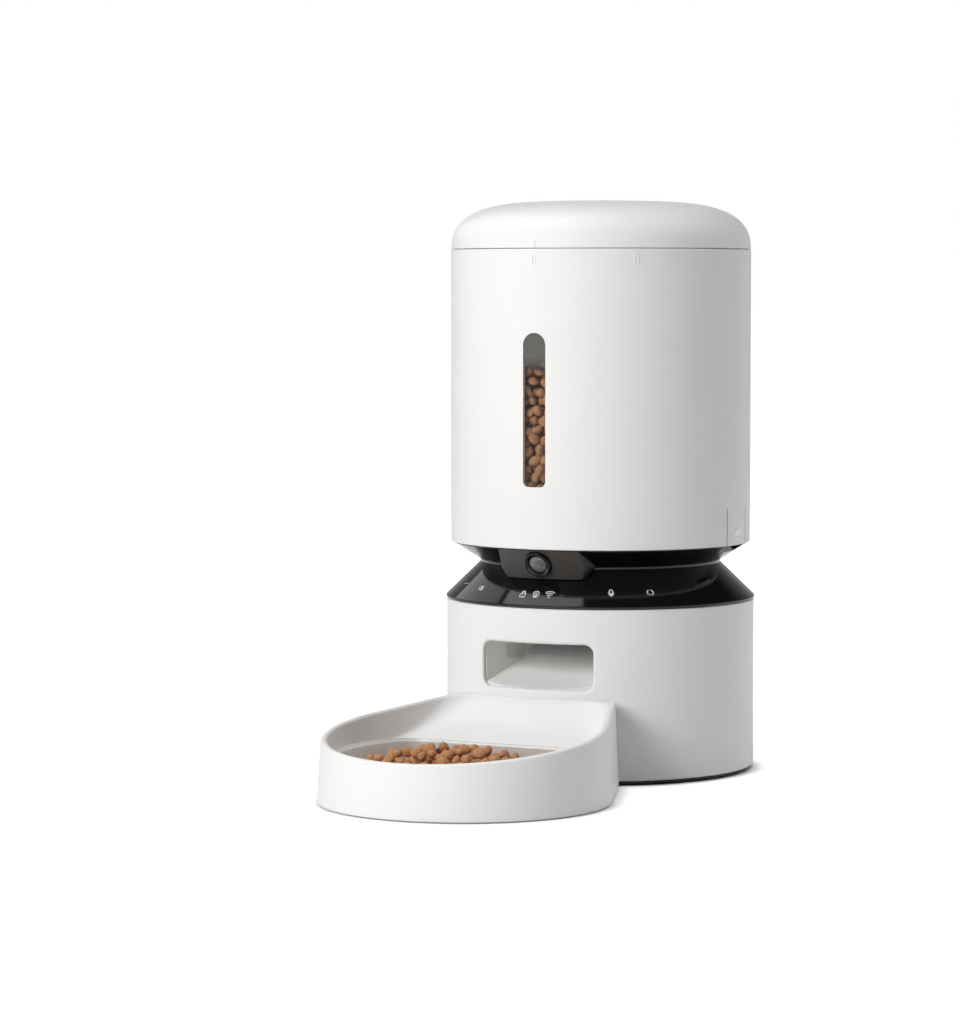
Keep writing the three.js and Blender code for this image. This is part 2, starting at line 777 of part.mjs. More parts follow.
function makeMainBoard() {
  const low = bayRoof + boardStand + seatGap;
  const near = boardCentre - boardLength / 2;
  const board = prism(rectangle(-boardWidth / 2, near, boardWidth / 2, near + boardLength, boardPost),
    low, low + boardThick);
  const top = low + boardThick;
  const chip = (x, y, size, height) => block(x - size / 2, y - size / 2, top - boardThick / 2,
    x + size / 2, y + size / 2, top + height);
  return join(board,
    chip(-chipSize, boardCentre, chipSize, chipHeight),
    chip(chipSize, boardCentre - chipSize / 2, canWidth, canHeight),
    chip(-2 * chipSize + chipHeight, boardCentre + chipSize, chipSize / 2, canHeight));
}

function makeSpeaker() {
  const near = speakerStand - speakerDepth / 2;
  const body = revolve(rounded([
    [0, 0], [speakerRadius * speakerMagnetShare, 0],
    [speakerRadius * speakerMagnetShare, speakerDepth * speakerMagnetShare],
    [speakerRadius, speakerDepth * speakerFlareShare], [speakerRadius, speakerDepth],
    [speakerRadius * speakerRimShare, speakerDepth],
    [speakerRadius * speakerCapShare, speakerDepth * speakerConeShare], [0, speakerDepth * speakerConeShare],
  ]), smallSides);
  return body.rotate([-90, 0, 0]).translate([0, near, speakerHeight]);
}

function makeJack() {
  const face = Math.sqrt((shellInner * flatShare) ** 2 - (jackBody / 2) ** 2) - seatGap;
  const body = block(-jackBody / 2, face - jackLength, jackHeight - jackBody / 2,
    jackBody / 2, face, jackHeight + jackBody / 2);
  const bore = rodY(0, jackHeight, jackBore, face - jackDepth, face + cutOver);
  const pin = rodY(0, jackHeight, jackPin, face - jackDepth - cutOver, face - cutOver, tinySides);
  return join(cut(body, bore), pin);
}

// The camera housing grown by a length: its sloping round face, flared sides and flat top and bottom.
function cameraVolume(grow, back) {
  const slope = Math.tan(rad(camTilt));
  const faceAt = (height) => camFaceRadius + (height - camLensHeight) * slope + grow / Math.cos(rad(camTilt));
  const [low, high] = [camFaceBottom - grow, camFaceTop + grow];
  const face = revolve([[back, low], [faceAt(low), low], [faceAt(high), high], [back, high]]);
  const spread = (y) => camHalfWidth + grow + (y + camFaceRadius) * Math.tan(rad(camSideFlare));
  const [front, rear] = [-camFaceRadius - 2 * camCorner, -back + 2 * camCorner];
  const plan = prism([[-spread(front), front], [spread(front), front], [spread(rear), rear],
    [-spread(rear), rear]], low, high);
  const seenFromFront = prismY(rounded([
    [-camHalfWidth - grow, low, camCorner], [camHalfWidth + grow, low, camCorner],
    [spread(rear) + camCorner, high], [-spread(rear) - camCorner, high],
  ]), front, rear);
  return common(face, plan, seenFromFront);
}

// Moves a piece drawn about the upright axis to the lens axis, with its top facing out of the face.
function onLensAxis(piece) {
  return piece.rotate([90 + camTilt, 0, 0]).translate([0, -camFaceRadius, camLensHeight]);
}

function makeCameraHousing() {
  const bore = onLensAxis(rod(0, 0, camBezelCore + seatGap, -camBezelLength, camBezelProud));
  const seat = onLensAxis(rod(0, 0, camBezelRadius + seatGap, -camBezelSeat, 2 * camBezelProud));
  const microphone = onLensAxis(rod(
    0, -camBezelRadius - 2 * micHole, micHole, -2 * camWall, camBezelProud, tinySides));
  return cut(cameraVolume(0, camBack), cameraVolume(-camWall, camBack - camWall), bore, seat, microphone);
}

function makeCameraBezel() {
  const step = seatGap - camBezelSeat;
  return onLensAxis(revolve([
    [camConeInner, -camBezelLength / 2], [camBezelCore, -camBezelLength / 2], [camBezelCore, step],
    [camBezelRadius, step], [camBezelFront, camBezelProud],
    [camConeOuter, camBezelProud], [camConeInner, camBezelProud - camConeDepth],
  ], smallSides));
}

function makeCameraLens() {
  const back = -camBezelLength / 2;
  const radius = camConeInner - seatGap / 2;
  const rise = camBezelProud - camConeDepth;
  const dome = [[0, back]];
  dome.push([radius, back], [radius, rise - camConeDepth]);
  for (let k = 1; k <= arcSteps; k += 1) {
    const lean = rad(90 * k / arcSteps);
    dome.push([radius * Math.cos(lean), rise - camConeDepth + camConeDepth * Math.sin(lean) * lensRiseShare]);
  }
  dome.at(-1)[0] = 0;
  return onLensAxis(revolve(dome, smallSides));
}

function makeCameraBoard() {
  const front = -camBezelLength / 2 - seatGap;
  return onLensAxis(join(
    block(-camBoardWidth / 2, -camBoardHeight / 2 - camBoardDrop, front - 2 * camBoardThick,
      camBoardWidth / 2, camBoardHeight / 2 - camBoardDrop, front - camBoardThick),
    rod(0, 0, camConeInner - seatGap, front - 2 * camBoardThick, front, tinySides)));
}

function makeControlRing() {
  const inner = ringRadius - ringWall * Math.SQRT2;
  const skirtOuter = shellInner - seatGap;
  const skirtInner = skirtOuter - ringSkirtWall;
  const ring = revolve(rounded([
    [skirtInner, ringBottom - ringSkirt], [skirtOuter, ringBottom - ringSkirt], [skirtOuter, ringBottom],
    [ringRadius, ringBottom], [ringRadius, ringBottom + ringShoulder, ringRound],
    [waistRadius, ringTop], [waistRadius - ringWall, ringTop],
    [waistRadius - ringWall, ringTop - ringWall / 2],
    [inner - ringWall, ringBottom + ringShoulder], [skirtInner, ringBottom + ringShoulder - ringWall],
  ], edgeSteps));
  return cut(ring, cameraVolume(seatGap, camBack - seatGap));
}

// A flat outline between two radii that reaches by half an angle to each side of the front.
function sector(inner, outer, half, count) {
  const middle = new THREE.Vector2();
  const shares = steps(count).map((share) => 2 * share - 1);
  const inwards = shares.toReversed();
  return [...arc(middle, outer, 0, rad(half), shares), ...arc(middle, inner, 0, rad(half), inwards)];
}

function makeTouchBoard() {
  const top = ringBottom + ringShoulder - ringWall - touchRingDrop;
  const outer = shellInner - seatGap - ringSkirtWall - touchRingPlay;
  return prism(sector(touchRingInner, outer, touchRingHalfAngle, 4 * arcSteps), top - touchRingThick, top);
}

function makeCollar() {
  const bandTop = collarBottom + collarBand;
  const spigotInner = spigotRadius - collarWall;
  const collar = revolve(rounded([
    [hexRadius + 2 * couplingCore, deckBottom], [waistRadius - ringWall - seatGap, deckBottom],
    [waistRadius - ringWall - seatGap, collarBottom], [waistRadius, collarBottom],
    [waistRadius, bandTop, collarBandRound], [collarRimRadius, collarRimHeight],
    [spigotRadius, collarRimHeight], [spigotRadius, spigotTop], [spigotInner, spigotTop],
    [spigotInner, collarRimHeight + collarLip], [waistRadius - collarWall - collarLip, deckTop],
    [hexRadius + 2 * couplingCore, deckTop],
  ], edgeSteps));
  const notchFace = collarRimRadius - notchDepth;
  const pockets = [-1, 1].map((side) => {
    const wall = prismX([
      [-notchHalf - collarWall, notchLow - collarWall], [notchHalf + collarWall, notchLow - collarWall],
      [notchHalf + collarWall, collarRimHeight], [-notchHalf - collarWall, collarRimHeight],
    ], notchFace - collarWall, notchFace + collarWall);
    return side > 0 ? wall : wall.mirror([1, 0, 0]);
  });
  const inCone = revolve([
    [0, deckTop], [waistRadius, bandTop], [collarRimRadius, collarRimHeight], [0, collarRimHeight],
  ]);
  const notches = [-1, 1].map((side) => {
    const tool = prismX([
      [-notchHalf + notchSlope, notchLow], [notchHalf - notchSlope, notchLow],
      [notchHalf, notchLow + notchSlope], [notchHalf, spigotTop + cutOver],
      [-notchHalf, spigotTop + cutOver], [-notchHalf, notchLow + notchSlope],
    ], notchFace, collarRimRadius + cutOver);
    return side > 0 ? tool : tool.mirror([1, 0, 0]);
  });
  const outlet = prism(outletOutline(seatGap), deckBottom - cutOver, deckTop + cutOver);
  return cut(join(collar, ...pockets.map((pocket) => common(pocket, inCone))),
    ...notches, outlet, cameraVolume(seatGap, camBack - seatGap),
    onLensAxis(rod(0, 0, camBezelRadius + seatGap, -camBezelLength, 2 * camBezelProud)));
}

// The outline of a gear with one tooth centred at the angle tooth, in degrees.
function gearOutline(teeth, tooth) {
  const pitch = gearModule * teeth / 2;
  const base = pitch * Math.cos(rad(pressureAngle));
  const involute = (radius) => {
    const lean = Math.acos(Math.min(1, base / radius));
    return Math.tan(lean) - lean;
  };
  const halfAt = (radius) => Math.PI / (2 * teeth) - gearBacklash / (2 * pitch)
    + involute(pitch) - involute(Math.max(radius, base));
  const radii = [pitch - dedendumShare * gearModule, pitch + addendumShare * gearModule];
  const points = [];
  for (let i = 0; i < teeth; i += 1) {
    const middle = rad(tooth) + 2 * Math.PI * i / teeth;
    radii.forEach((radius) => points.push([radius, middle - halfAt(radius)]));
    radii.toReversed().forEach((radius) => points.push([radius, middle + halfAt(radius)]));
  }
  return points.map(([radius, angle]) =>
    new THREE.Vector2(radius * Math.cos(angle), radius * Math.sin(angle)));
}

const clusterLow = gearCaseBottom + gearCaseFloor + gearFloorLift;
const clusterMid = clusterLow + gearWidth;
const outputLow = clusterMid + gearStep;
const clusterTop = outputLow + gearWidth + gearStep;

function makeOutputShaft() {
  const gear = prism(gearOutline(outputTeeth, 90), outputLow, outputLow + gearWidth);
  const shaft = rod(0, 0, outputShaft, clusterLow, deckTop);
  const pin = rod(0, 0, pivotPin, gearCaseBottom + seatGap, clusterLow + cutOver, tinySides);
  const core = rod(0, 0, couplingCore, deckTop - cutOver, roomDeck + hexHeight / 2, tinySides);
  return join(gear, shaft, pin, core);
}

function makeDriveCoupling() {
  const low = deckTop + seatGap;
  const hex = rod(0, 0, hexRadius, low, roomDeck + hexHeight, 6);
  const boreTop = roomDeck + hexHeight / 2 + seatGap;
  const bore = rod(0, 0, couplingCore + seatGap, low - cutOver, boreTop, tinySides);
  return cut(hex, bore);
}

function makeClusterGear() {
  const large = prism(gearOutline(clusterLargeTeeth, 90), clusterLow, clusterMid);
  const small = prism(gearOutline(clusterSmallTeeth, -90 + 180 / clusterSmallTeeth),
    clusterMid - seatGap, clusterTop);
  const pin = rod(0, 0, pivotPin, gearCaseBottom + seatGap, gearCaseTop + seatGap + pivotLength, tinySides);
  return join(large, small, pin).translate([0, clusterPlace, 0]);
}

function makeMotorPinion() {
  const outline = gearOutline(pinionTeeth, -90 + 180 / pinionTeeth);
  const gear = prism(outline, clusterLow - seatGap, clusterMid + seatGap);
  const shaft = rod(0, 0, motorShaft, gearCaseBottom - motorBore + seatGap, clusterMid + gearStep, tinySides);
  return join(gear, shaft).translate([0, motorPlace, 0]);
}

function gearCaseOutline(inset) {
  const half = gearModule * (outputTeeth / 2 + addendumShare) + turnGap + gearCaseWall - inset;
  return rectangle(-half, -half, half, motorPlace + motorRadius + gearCaseWall - inset, half - inset);
}

function makeGearCase() {
  const body = prism(gearCaseOutline(0), gearCaseBottom, gearCaseTop);
  const room = prism(gearCaseOutline(gearCaseWall), gearCaseBottom + gearCaseFloor, gearCaseTop + cutOver);
  const boss = (y) => rod(0, y, pivotPin + gearCaseWall, gearCaseBottom + cutOver,
    clusterLow - seatGap, tinySides);
  const hole = (y, radius, sides = tinySides) => rod(
    0, y, radius, gearCaseBottom - cutOver, clusterLow + cutOver, sides);
  return cut(join(cut(body, room), boss(0), boss(clusterPlace)),
    hole(0, pivotPin + seatGap), hole(clusterPlace, pivotPin + seatGap),
    hole(motorPlace, motorBoss + seatGap, smallSides));
}

function makeGearCover() {
  const low = gearCaseTop + seatGap;
  const plate = prism(gearCaseOutline(0), low, low + gearCoverThick);
  const neck = rod(0, 0, outputShaft + turnGap, low - cutOver, low + gearCoverThick + cutOver);
  const pivotTop = low + pivotLength + seatGap;
  const pivot = rod(0, clusterPlace, pivotPin + seatGap, low - cutOver, pivotTop, tinySides);
  return cut(plate, neck, pivot);
}

function makeMotor() {
  const top = gearCaseBottom - seatGap;
  const can = revolve(rounded([
    [0, top - motorLength], [motorBoss, top - motorLength], [motorBoss, top - motorLength + motorBossHeight],
    [motorRadius, top - motorLength + motorBossHeight, motorBossHeight],
    [motorRadius, top, motorBossHeight / 2],
    [motorBoss, top], [motorBoss, top + motorBossHeight], [0, top + motorBossHeight],
  ], 2), smallSides);
  const bore = rod(0, 0, motorShaft + seatGap, top - motorBore, top + 2 * motorBossHeight, tinySides);
  return cut(can, bore).translate([0, motorPlace, 0]);
}

function windowOutline(grow) {
  const half = windowWidth / 2 + grow;
  const [low, high] = [windowBottom - grow, windowTop + grow];
  return rounded([
    [-half, low, windowCorner + grow], [half, low, windowCorner + grow],
    [half, high, half - weldTolerance], [-half, high, half - weldTolerance],
  ], 2 * arcSteps);
}

function tabSector(side, grow, high) {
  const half = Math.sin(rad(tabHalfAngle)) * tankRadius + grow;
  const plan = block(tankInner / 2, -half, tankBottom - cutOver, tankRadius + cutOver, half, high);
  return side > 0 ? plan : plan.mirror([1, 0, 0]);
}

// A thin raised outline that marks one end of the lid's turn.
function tankMark(angle) {
  const high = tankTop - tankMarkDrop;
  const outline = (inset) => rectangle(-tankMarkWidth / 2 + inset, high - tankMarkHeight + inset,
    tankMarkWidth / 2 - inset, high - inset, tankMarkWidth / 2 - inset - weldTolerance);
  const band = cut(
    prismY(outline(0), -tankRadius - cutOver, -tankInner - tankWall / 2),
    prismY(outline(tankMarkLine), -tankRadius - 2 * cutOver, 0));
  const limit = rod(0, 0, tankRadius + markProud * markSinkShare, tankBottom, tankTop, 2 * shellSides);
  return turned(common(band, limit), angle);
}

// The turn, in degrees, that takes a point of the tank wall so far along it.
const stopAngle = (along) => THREE.MathUtils.radToDeg(along / tankInner);

function makeTankShell() {
  const wall = revolve(rounded([
    [tankFootInner, tankBottom], [tankRadius, tankBottom, tankFootRound], [tankRadius, tankTop, tankRimRound],
    [tankInner, tankTop], [tankInner, ledgeTop], [tankInner - ledgeReach, ledgeTop],
    [tankInner - ledgeReach, ledgeHeight], [tankInner, ledgeHeight - ledgeReach],
    [tankInner, tankBottom + tankFootRound],
  ], edgeSteps));
  const window = prismY(windowOutline(0), -tankRadius - cutOver, -tankInner / 2);
  const tabs = [-1, 1].map((side) => tabSector(side, tabSlit, tabTop + seatGap));
  const stops = [0, 180].flatMap((start) => [
    start - stopAngle(stopLugWidth / 2 + seatGap + stopWidth / 2),
    start + lockTurn + stopAngle(stopLugWidth / 2 + seatGap + stopWidth / 2),
  ]).map((angle) => turned(block(-stopWidth / 2, -tankInner - tankWall / 2, stopLow,
    stopWidth / 2, -tankInner + stopReach, stopLow + stopHeight), angle));
  return cut(join(wall, tankMark(0), tankMark(lockTurn), ...stops), window, ...tabs);
}

function makeTankWindow() {
  const pane = common(
    prismY(windowOutline(-windowGap), -tankRadius - cutOver, -tankInner / 2),
    tube(tankRadius - seatGap, tankInner, windowBottom - windowWidth, windowTop + windowWidth));
  const flange = common(
    prismY(windowOutline(tankWall / 2), -tankRadius - cutOver, -tankInner / 2),
    tube(tankInner - seatGap, tankInner - seatGap - tankWall / 2, windowBottom - windowWidth,
      windowTop + windowWidth));
  const bridge = common(
    prismY(windowOutline(-windowGap), -tankRadius - cutOver, -tankInner / 2),
    tube(tankInner + tankWall / 2, tankInner - tankWall / 2, windowBottom - windowWidth,
      windowTop + windowWidth));
  return join(pane, flange, bridge);
}

function makeReleaseTab(side) {
  const skinBody = revolve(rounded([
    [tankFootInner, tankBottom], [tankRadius, tankBottom, tankFootRound], [tankRadius, tabTop],
    [tankInner, tabTop], [tankInner, tankBottom + tankFootRound],
  ], edgeSteps));
  const tab = common(skinBody, tabSector(side, 0, tabTop));
  const markBody = revolve([
    [tankRadius - tankWall / 2, tankBottom], [tankRadius + tabMarkProud, tankBottom],
    [tankRadius + tabMarkProud, tabTop], [tankRadius - tankWall / 2, tabTop],
  ]);
  const arrow = prismX([[-tabMarkWidth / 2, tabMarkLow], [tabMarkWidth / 2, tabMarkLow],
    [0, tabMarkLow + tabMarkHeight]], 0, tankRadius + cutOver);
  const bar = block(0, -tabMarkWidth / 2, tabBarLow, tankRadius + cutOver, tabMarkWidth / 2,
    tabBarLow + tabBarHeight);
  const place = (piece) => (side > 0 ? piece : piece.mirror([1, 0, 0]));
  return join(tab, common(markBody, place(arrow)), common(markBody, place(bar)));
}

function makeHopper() {
  const flangeRadius = tankInner - seatGap;
  const funnel = revolve([
    [hexRadius + couplingCore, roomBottom], [wheelRoom + roomWall, roomBottom],
    [wheelRoom + roomWall, funnelFoot - funnelWall / 2],
    [tankInner - 2 * ledgeReach, funnelRim - funnelFlange],
    [flangeRadius, funnelRim - funnelFlange], [flangeRadius, funnelRim],
    [flangeRadius - funnelWall, funnelRim], [wheelRoom, funnelFoot], [wheelRoom, roomDeck],
    [hexRadius + couplingCore, roomDeck],
  ]);
  return cut(funnel, prism(outletOutline(0), roomBottom - cutOver, roomDeck + cutOver));
}

function makeBaffle() {
  const low = wheelBottom + paddleHeight + baffleLift;
  const outline = sector(hubRadius + paddleGap, wheelRoom - 2 * seatGap, baffleHalfAngle, 2 * arcSteps);
  return prism(outline, low, low + baffleThick);
}

function makeFoodWheel() {
  const hub = revolve(rounded([
    [0, wheelBottom], [hubRadius, wheelBottom], [hubRadius, hubTop, baffleLift],
    [hubRadius / 2, hubTop + hubCap, hubRadius / 3], [0, hubTop + hubCap],
  ]), smallSides);
  const paddles = Array.from({ length: wheelPaddles }, (_, i) => turned(block(
    -paddleThick / 2, -wheelRoom + paddleGap, wheelBottom, paddleThick / 2, -hubRadius / 2,
    wheelBottom + paddleHeight), (i + 0.5) * 360 / wheelPaddles));
  const socket = rod(0, 0, hexRadius + hexSocket, wheelBottom - cutOver, roomDeck + hexHeight + hexSocket, 6);
  const stirrerHole = stirrer(stirrerRadius + 2 * seatGap, hubTop + hubCap / 2);
  return cut(join(hub, ...paddles), socket, stirrerHole);
}

// A bent rod in the top of the food wheel that keeps the food moving.
function stirrer(radius, foot) {
  const path = new THREE.CatmullRomCurve3([
    new THREE.Vector3(0, 0, foot), new THREE.Vector3(0, 0, foot + stirrerRise / 3),
    new THREE.Vector3(stirrerReach / 3, 0, foot + stirrerRise / 2),
    new THREE.Vector3(stirrerReach, 0, foot + stirrerRise),
  ]);
  const section = new THREE.Shape().absarc(0, 0, radius, 0, 2 * Math.PI);
  const sections = section.getPoints(2);
  return solid(new THREE.ExtrudeGeometry(new THREE.Shape(sections), {
    steps: 3 * arcSteps, bevelEnabled: false, extrudePath: path,
  }));
}

function makeStirrer() {
  return stirrer(stirrerRadius, hubTop + hubCap / 2 + seatGap);
}

// The outside of the dome, from its foot to its crown, drawn in by inset.
function domeProfile(inset, count) {
  const points = [];
  for (let k = 0; k <= count; k += 1) {
    const lean = rad(90 * k / count);
    points.push([
      (lidRadius - inset) * Math.cos(lean) ** (2 / lidShoulderShare),
      lidBottom + (lidHeight - inset) * Math.sin(lean) ** (2 / lidCrownShare),
    ]);
  }
  points.at(-1)[0] = 0;
  return points;
}

function makeLidCover() {
  const dome = revolve([...domeProfile(0, lidSteps), ...domeProfile(lidWall, lidInnerSteps).reverse()]);
  const mark = common(
    block(-lidMarkWidth / 2, -lidRadius - cutOver, lidBottom, lidMarkWidth / 2, -lidRadius + lidWall / 2,
      lidBottom + lidMarkHeight),
    rod(0, 0, lidRadius + markProud / 3, lidBottom, lidBottom + lidHeight, shellSides));
  return join(dome, mark);
}

const linerTop = lidBottom + linerRise;
const skirtLow = linerTop - linerSkirt;
const sealLow = skirtLow + (linerSkirt - linerRise - sealHeight) / 2;

function makeLidLiner() {
  const skirtOuter = tankInner - sealWidth + sealGroove - seatGap / 2;
  const skirtInner = skirtOuter - linerWall;
  const edge = lidRadius - lidWall - linerPlay;
  const body = revolve([
    [0, linerTop - linerWall], [skirtInner, linerTop - linerWall],
    [skirtInner, skirtLow], [skirtOuter, skirtLow],
    [skirtOuter, sealLow - seatGap], [skirtOuter - sealGroove, sealLow - seatGap],
    [skirtOuter - sealGroove, sealLow + sealHeight + seatGap], [skirtOuter, sealLow + sealHeight + seatGap],
    [skirtOuter, linerTop - linerWall], [edge, linerTop - linerWall], [edge, linerTop], [0, linerTop],
  ]);
  const cup = tube(dryCupRadius, dryCupRadius - dryCupWall, dryCupLow, linerTop - linerWall / 2, smallSides);
  const lugs = [0, 180].map((angle) => turned(block(
    -stopLugWidth / 2, -tankInner * flatShare + turnGap, skirtLow,
    stopLugWidth / 2, -skirtOuter + linerWall / 2,
    skirtLow + stopHeight / 3), angle));
  return join(body, cup, ...lugs);
}

function makeLidSeal() {
  const outer = tankInner - seatGap;
  const inner = tankInner - sealWidth + seatGap;
  return revolve([
    [inner, sealLow], [outer - sealGroove / 2, sealLow], [outer, sealLow + sealHeight],
    [inner, sealLow + sealHeight],
  ]);
}

const dryCupLow = linerTop - linerWall - dryCupDepth;

function makeDryPack() {
  const low = dryCupLow + seatGap;
  return revolve(rounded([
    [0, low], [dryCupRadius - dryCupWall - seatGap, low, dryPackHeight / 3],
    [dryCupRadius - dryCupWall - seatGap, low + dryPackHeight, dryPackHeight / 3], [0, low + dryPackHeight],
  ]), smallSides);
}

function makeDryDoor() {
  const low = dryCupLow - turnGap - dryDoorThick;
  const outer = (dryCupRadius + turnGap) / smallFlatShare + dryDoorWall;
  const cap = revolve([
    [0, low], [outer, low], [outer, low + dryDoorRim], [outer - dryDoorWall, low + dryDoorRim],
    [outer - dryDoorWall, low + dryDoorThick], [0, low + dryDoorThick],
  ], smallSides);
  const slots = Array.from({ length: drySlots }, (_, i) => {
    const x = (i - (drySlots - 1) / 2) * drySlotPitch;
    const half = drySlotLength / 2 - Math.abs(i - (drySlots - 1) / 2) * drySlotWidth;
    return block(
      x - drySlotWidth / 2, -half, low - cutOver,
      x + drySlotWidth / 2, half, low + dryDoorThick + cutOver);
  });
  const ribs = [0, 180].map((angle) => turned(block(
    -dryTwistRib, -outer - dryTwistRib, low,
    dryTwistRib, -outer + dryDoorWall / 2, low + dryDoorRim), angle));
  return join(cut(cap, ...slots), ...ribs);
}

// One half of a plan outline from the front middle to the rear middle, mirrored to the left side.
function mirroredPlan(front, side, corner, rear) {
  const half = [...front, ...side, ...corner, ...rear];
  const left = half.slice(1, -1).reverse().map(({ x, y }) => new THREE.Vector2(-x, y));
  return [...half, ...left];
}

const steps = (count, from = 0) => Array.from({ length: count + 1 - from }, (_, i) => (i + from) / count);

function arc(centre, radius, start, end, shares) {
  return shares.map((share) => {
    const angle = start + (end - start) * share;
    return new THREE.Vector2(centre.x + radius * Math.sin(angle), centre.y - radius * Math.cos(angle));
  });
}

// The round front and the straight sides that all tray outlines share, then a corner arc about a
// point that stays on the line parallel to the side.
function planWith(inset, corner, cornerCentreY, cornerEnd, rear) {
  const turn = rad(traySideTurn);
  const centre = new THREE.Vector2(0, -trayCentre);
  const radius = trayRadius - inset;
  const across = radius - corner;
  const cornerCentre = new THREE.Vector2(
    (across + (cornerCentreY + trayCentre) * Math.cos(turn)) / Math.sin(turn), cornerCentreY);
  const front = arc(centre, radius, 0, turn, steps(frontSteps));
  const bend = arc(cornerCentre, corner, turn, cornerEnd(cornerCentre), steps(cornerSteps));
  const side = steps(sideSteps, 1).slice(0, -1).map((share) => front.at(-1).clone().lerp(bend[0], share));
  return mirroredPlan(front, side, bend, rear(cornerCentre, bend.at(-1)));
}

// The outline of the tray, which wraps round the base at the back, drawn in by inset.
function trayOutline(inset) {
  const corner = trayCorner - inset;
  const rearRadius = trayRearRadius + inset;
  const turn = rad(traySideTurn);
  const start = new THREE.Vector2(
    (trayRadius - trayCorner) * Math.sin(turn), -trayCentre - (trayRadius - trayCorner) * Math.cos(turn));
  const along = new THREE.Vector2(Math.cos(turn), Math.sin(turn));
  const reach = trayRearRadius + trayCorner;
  const across = start.dot(along);
  const distance = -across - Math.sqrt(across ** 2 - start.lengthSq() + reach ** 2);
  const centreY = start.y + distance * along.y;
  return planWith(inset, corner, centreY,
    (centre) => Math.atan2(-centre.x, centre.y) + 2 * Math.PI,
    (centre, end) => arc(new THREE.Vector2(), rearRadius, Math.atan2(end.x, -end.y), 0, steps(rearSteps, 1)));
}

// The outline of the bowl and of its seat, with a straight rear edge, drawn in by inset.
function bowlOutline(inset) {
  const corner = bowlCorner - (inset - bowlInset) / 2;
  const rear = -bowlRear - (inset - bowlInset);
  return planWith(inset, corner, rear - corner, () => Math.PI,
    (centre, end) => steps(rearSteps, 1).map((share) => new THREE.Vector2(end.x * (1 - share), rear)));
}

const level = (outline, height) => outline.map(({ x, y }) => new THREE.Vector3(x, y, height));

function rimHeight(y) {
  const share = (y - trayFront) / (-trayRearRadius - trayFront);
  return trayFrontHeight + (trayBackHeight - trayFrontHeight) * Math.min(1, share);
}

const atRim = (outline, drop) => outline.map(({ x, y }) => new THREE.Vector3(x, y, rimHeight(y) - drop));

function between(high, low, shares) {
  return shares.map(([across, down]) => high.map((point, i) => new THREE.Vector3(
    point.x + (low[i].x - point.x) * across, point.y + (low[i].y - point.y) * across,
    point.z + (low[i].z - point.z) * down)));
}

function makeTray() {
  const wellOuter = wellInset - trayWall;
  const lipLow = atRim(trayOutline(lipWidth), lipRound);
  const stepTop = level(bowlOutline(bowlInset), bowlSeat + bowlStep);
  const underTop = atRim(trayOutline(trayWall), lipUnder);
  const shelf = bowlSeat - trayWall;
  const underLow = level(bowlOutline(bowlInset - trayWall), shelf);
  const lip = steps(2, 1).slice(0, -1).map((share) => rad(90 * share));
  const shell = skin([
    level(bowlOutline(wellOuter + wellRound), trayFloorUnder),
    level(bowlOutline(wellOuter), trayFloorUnder + wellRound),
    level(bowlOutline(wellOuter), shelf),
    underLow,
    ...between(underTop, underLow, apronShares).reverse(),
    underTop,
    level(trayOutline(trayWall + trayFootInset), trayStand),
    level(trayOutline(trayFootInset), trayStand),
    level(trayOutline(0), trayStand + trayFootRise),
    atRim(trayOutline(0), lipRound),
    ...lip.map((lean) => atRim(
      trayOutline(lipRound * (1 - Math.cos(lean))), lipRound * (1 - Math.sin(lean)))),
    atRim(trayOutline(lipRound), 0),
    atRim(trayOutline(lipWidth - lipRound), 0),
    ...lip.toReversed().map((lean) => atRim(
      trayOutline(lipWidth - lipRound * (1 - Math.cos(lean))), lipRound * (1 - Math.sin(lean)))),
    lipLow,
    ...between(lipLow, stepTop, apronShares),
    stepTop,
    level(bowlOutline(bowlInset), bowlSeat),
    level(bowlOutline(wellInset), bowlSeat),
    level(bowlOutline(wellInset), trayFloorTop + wellRound),
    level(bowlOutline(wellInset + wellRound), trayFloorTop),
  ]);
  const hooks = [-1, 1].map((side) => {
    const wallY = -Math.sqrt(trayRearRadius ** 2 - hookPlace ** 2);
    return block(side * hookPlace - hookWidth / 2, wallY - trayWall, hookHeight,
      side * hookPlace + hookWidth / 2, wallY + hookReach, hookHeight + hookThick);
  });
  return join(shell, ...hooks);
}

function makeSteelBowl() {
  const low = trayFloorTop + seatGap;
  const seat = bowlSeat + seatGap;
  const inner = bowlWallInset + steel;
  return skin([
    level(bowlOutline(bowlWallInset + bowlRound), low),
    level(bowlOutline(bowlWallInset + bowlRound * bowlTurnShare), low + bowlRound * bowlTurnShare),
    level(bowlOutline(bowlWallInset), low + bowlRound),
    level(bowlOutline(bowlWallInset), seat),
    level(bowlOutline(bowlEdgeInset), seat),
    level(bowlOutline(bowlEdgeInset), seat + steel),
    level(bowlOutline(inner - bowlBead), seat + steel),
    level(bowlOutline(inner), seat + steel - bowlBead),
    level(bowlOutline(inner), low + steel + bowlRound),
    level(bowlOutline(inner + bowlRound * bowlTurnShare), low + steel + bowlRound * bowlTurnShare),
    level(bowlOutline(inner + bowlRound), low + steel),
  ]);
}

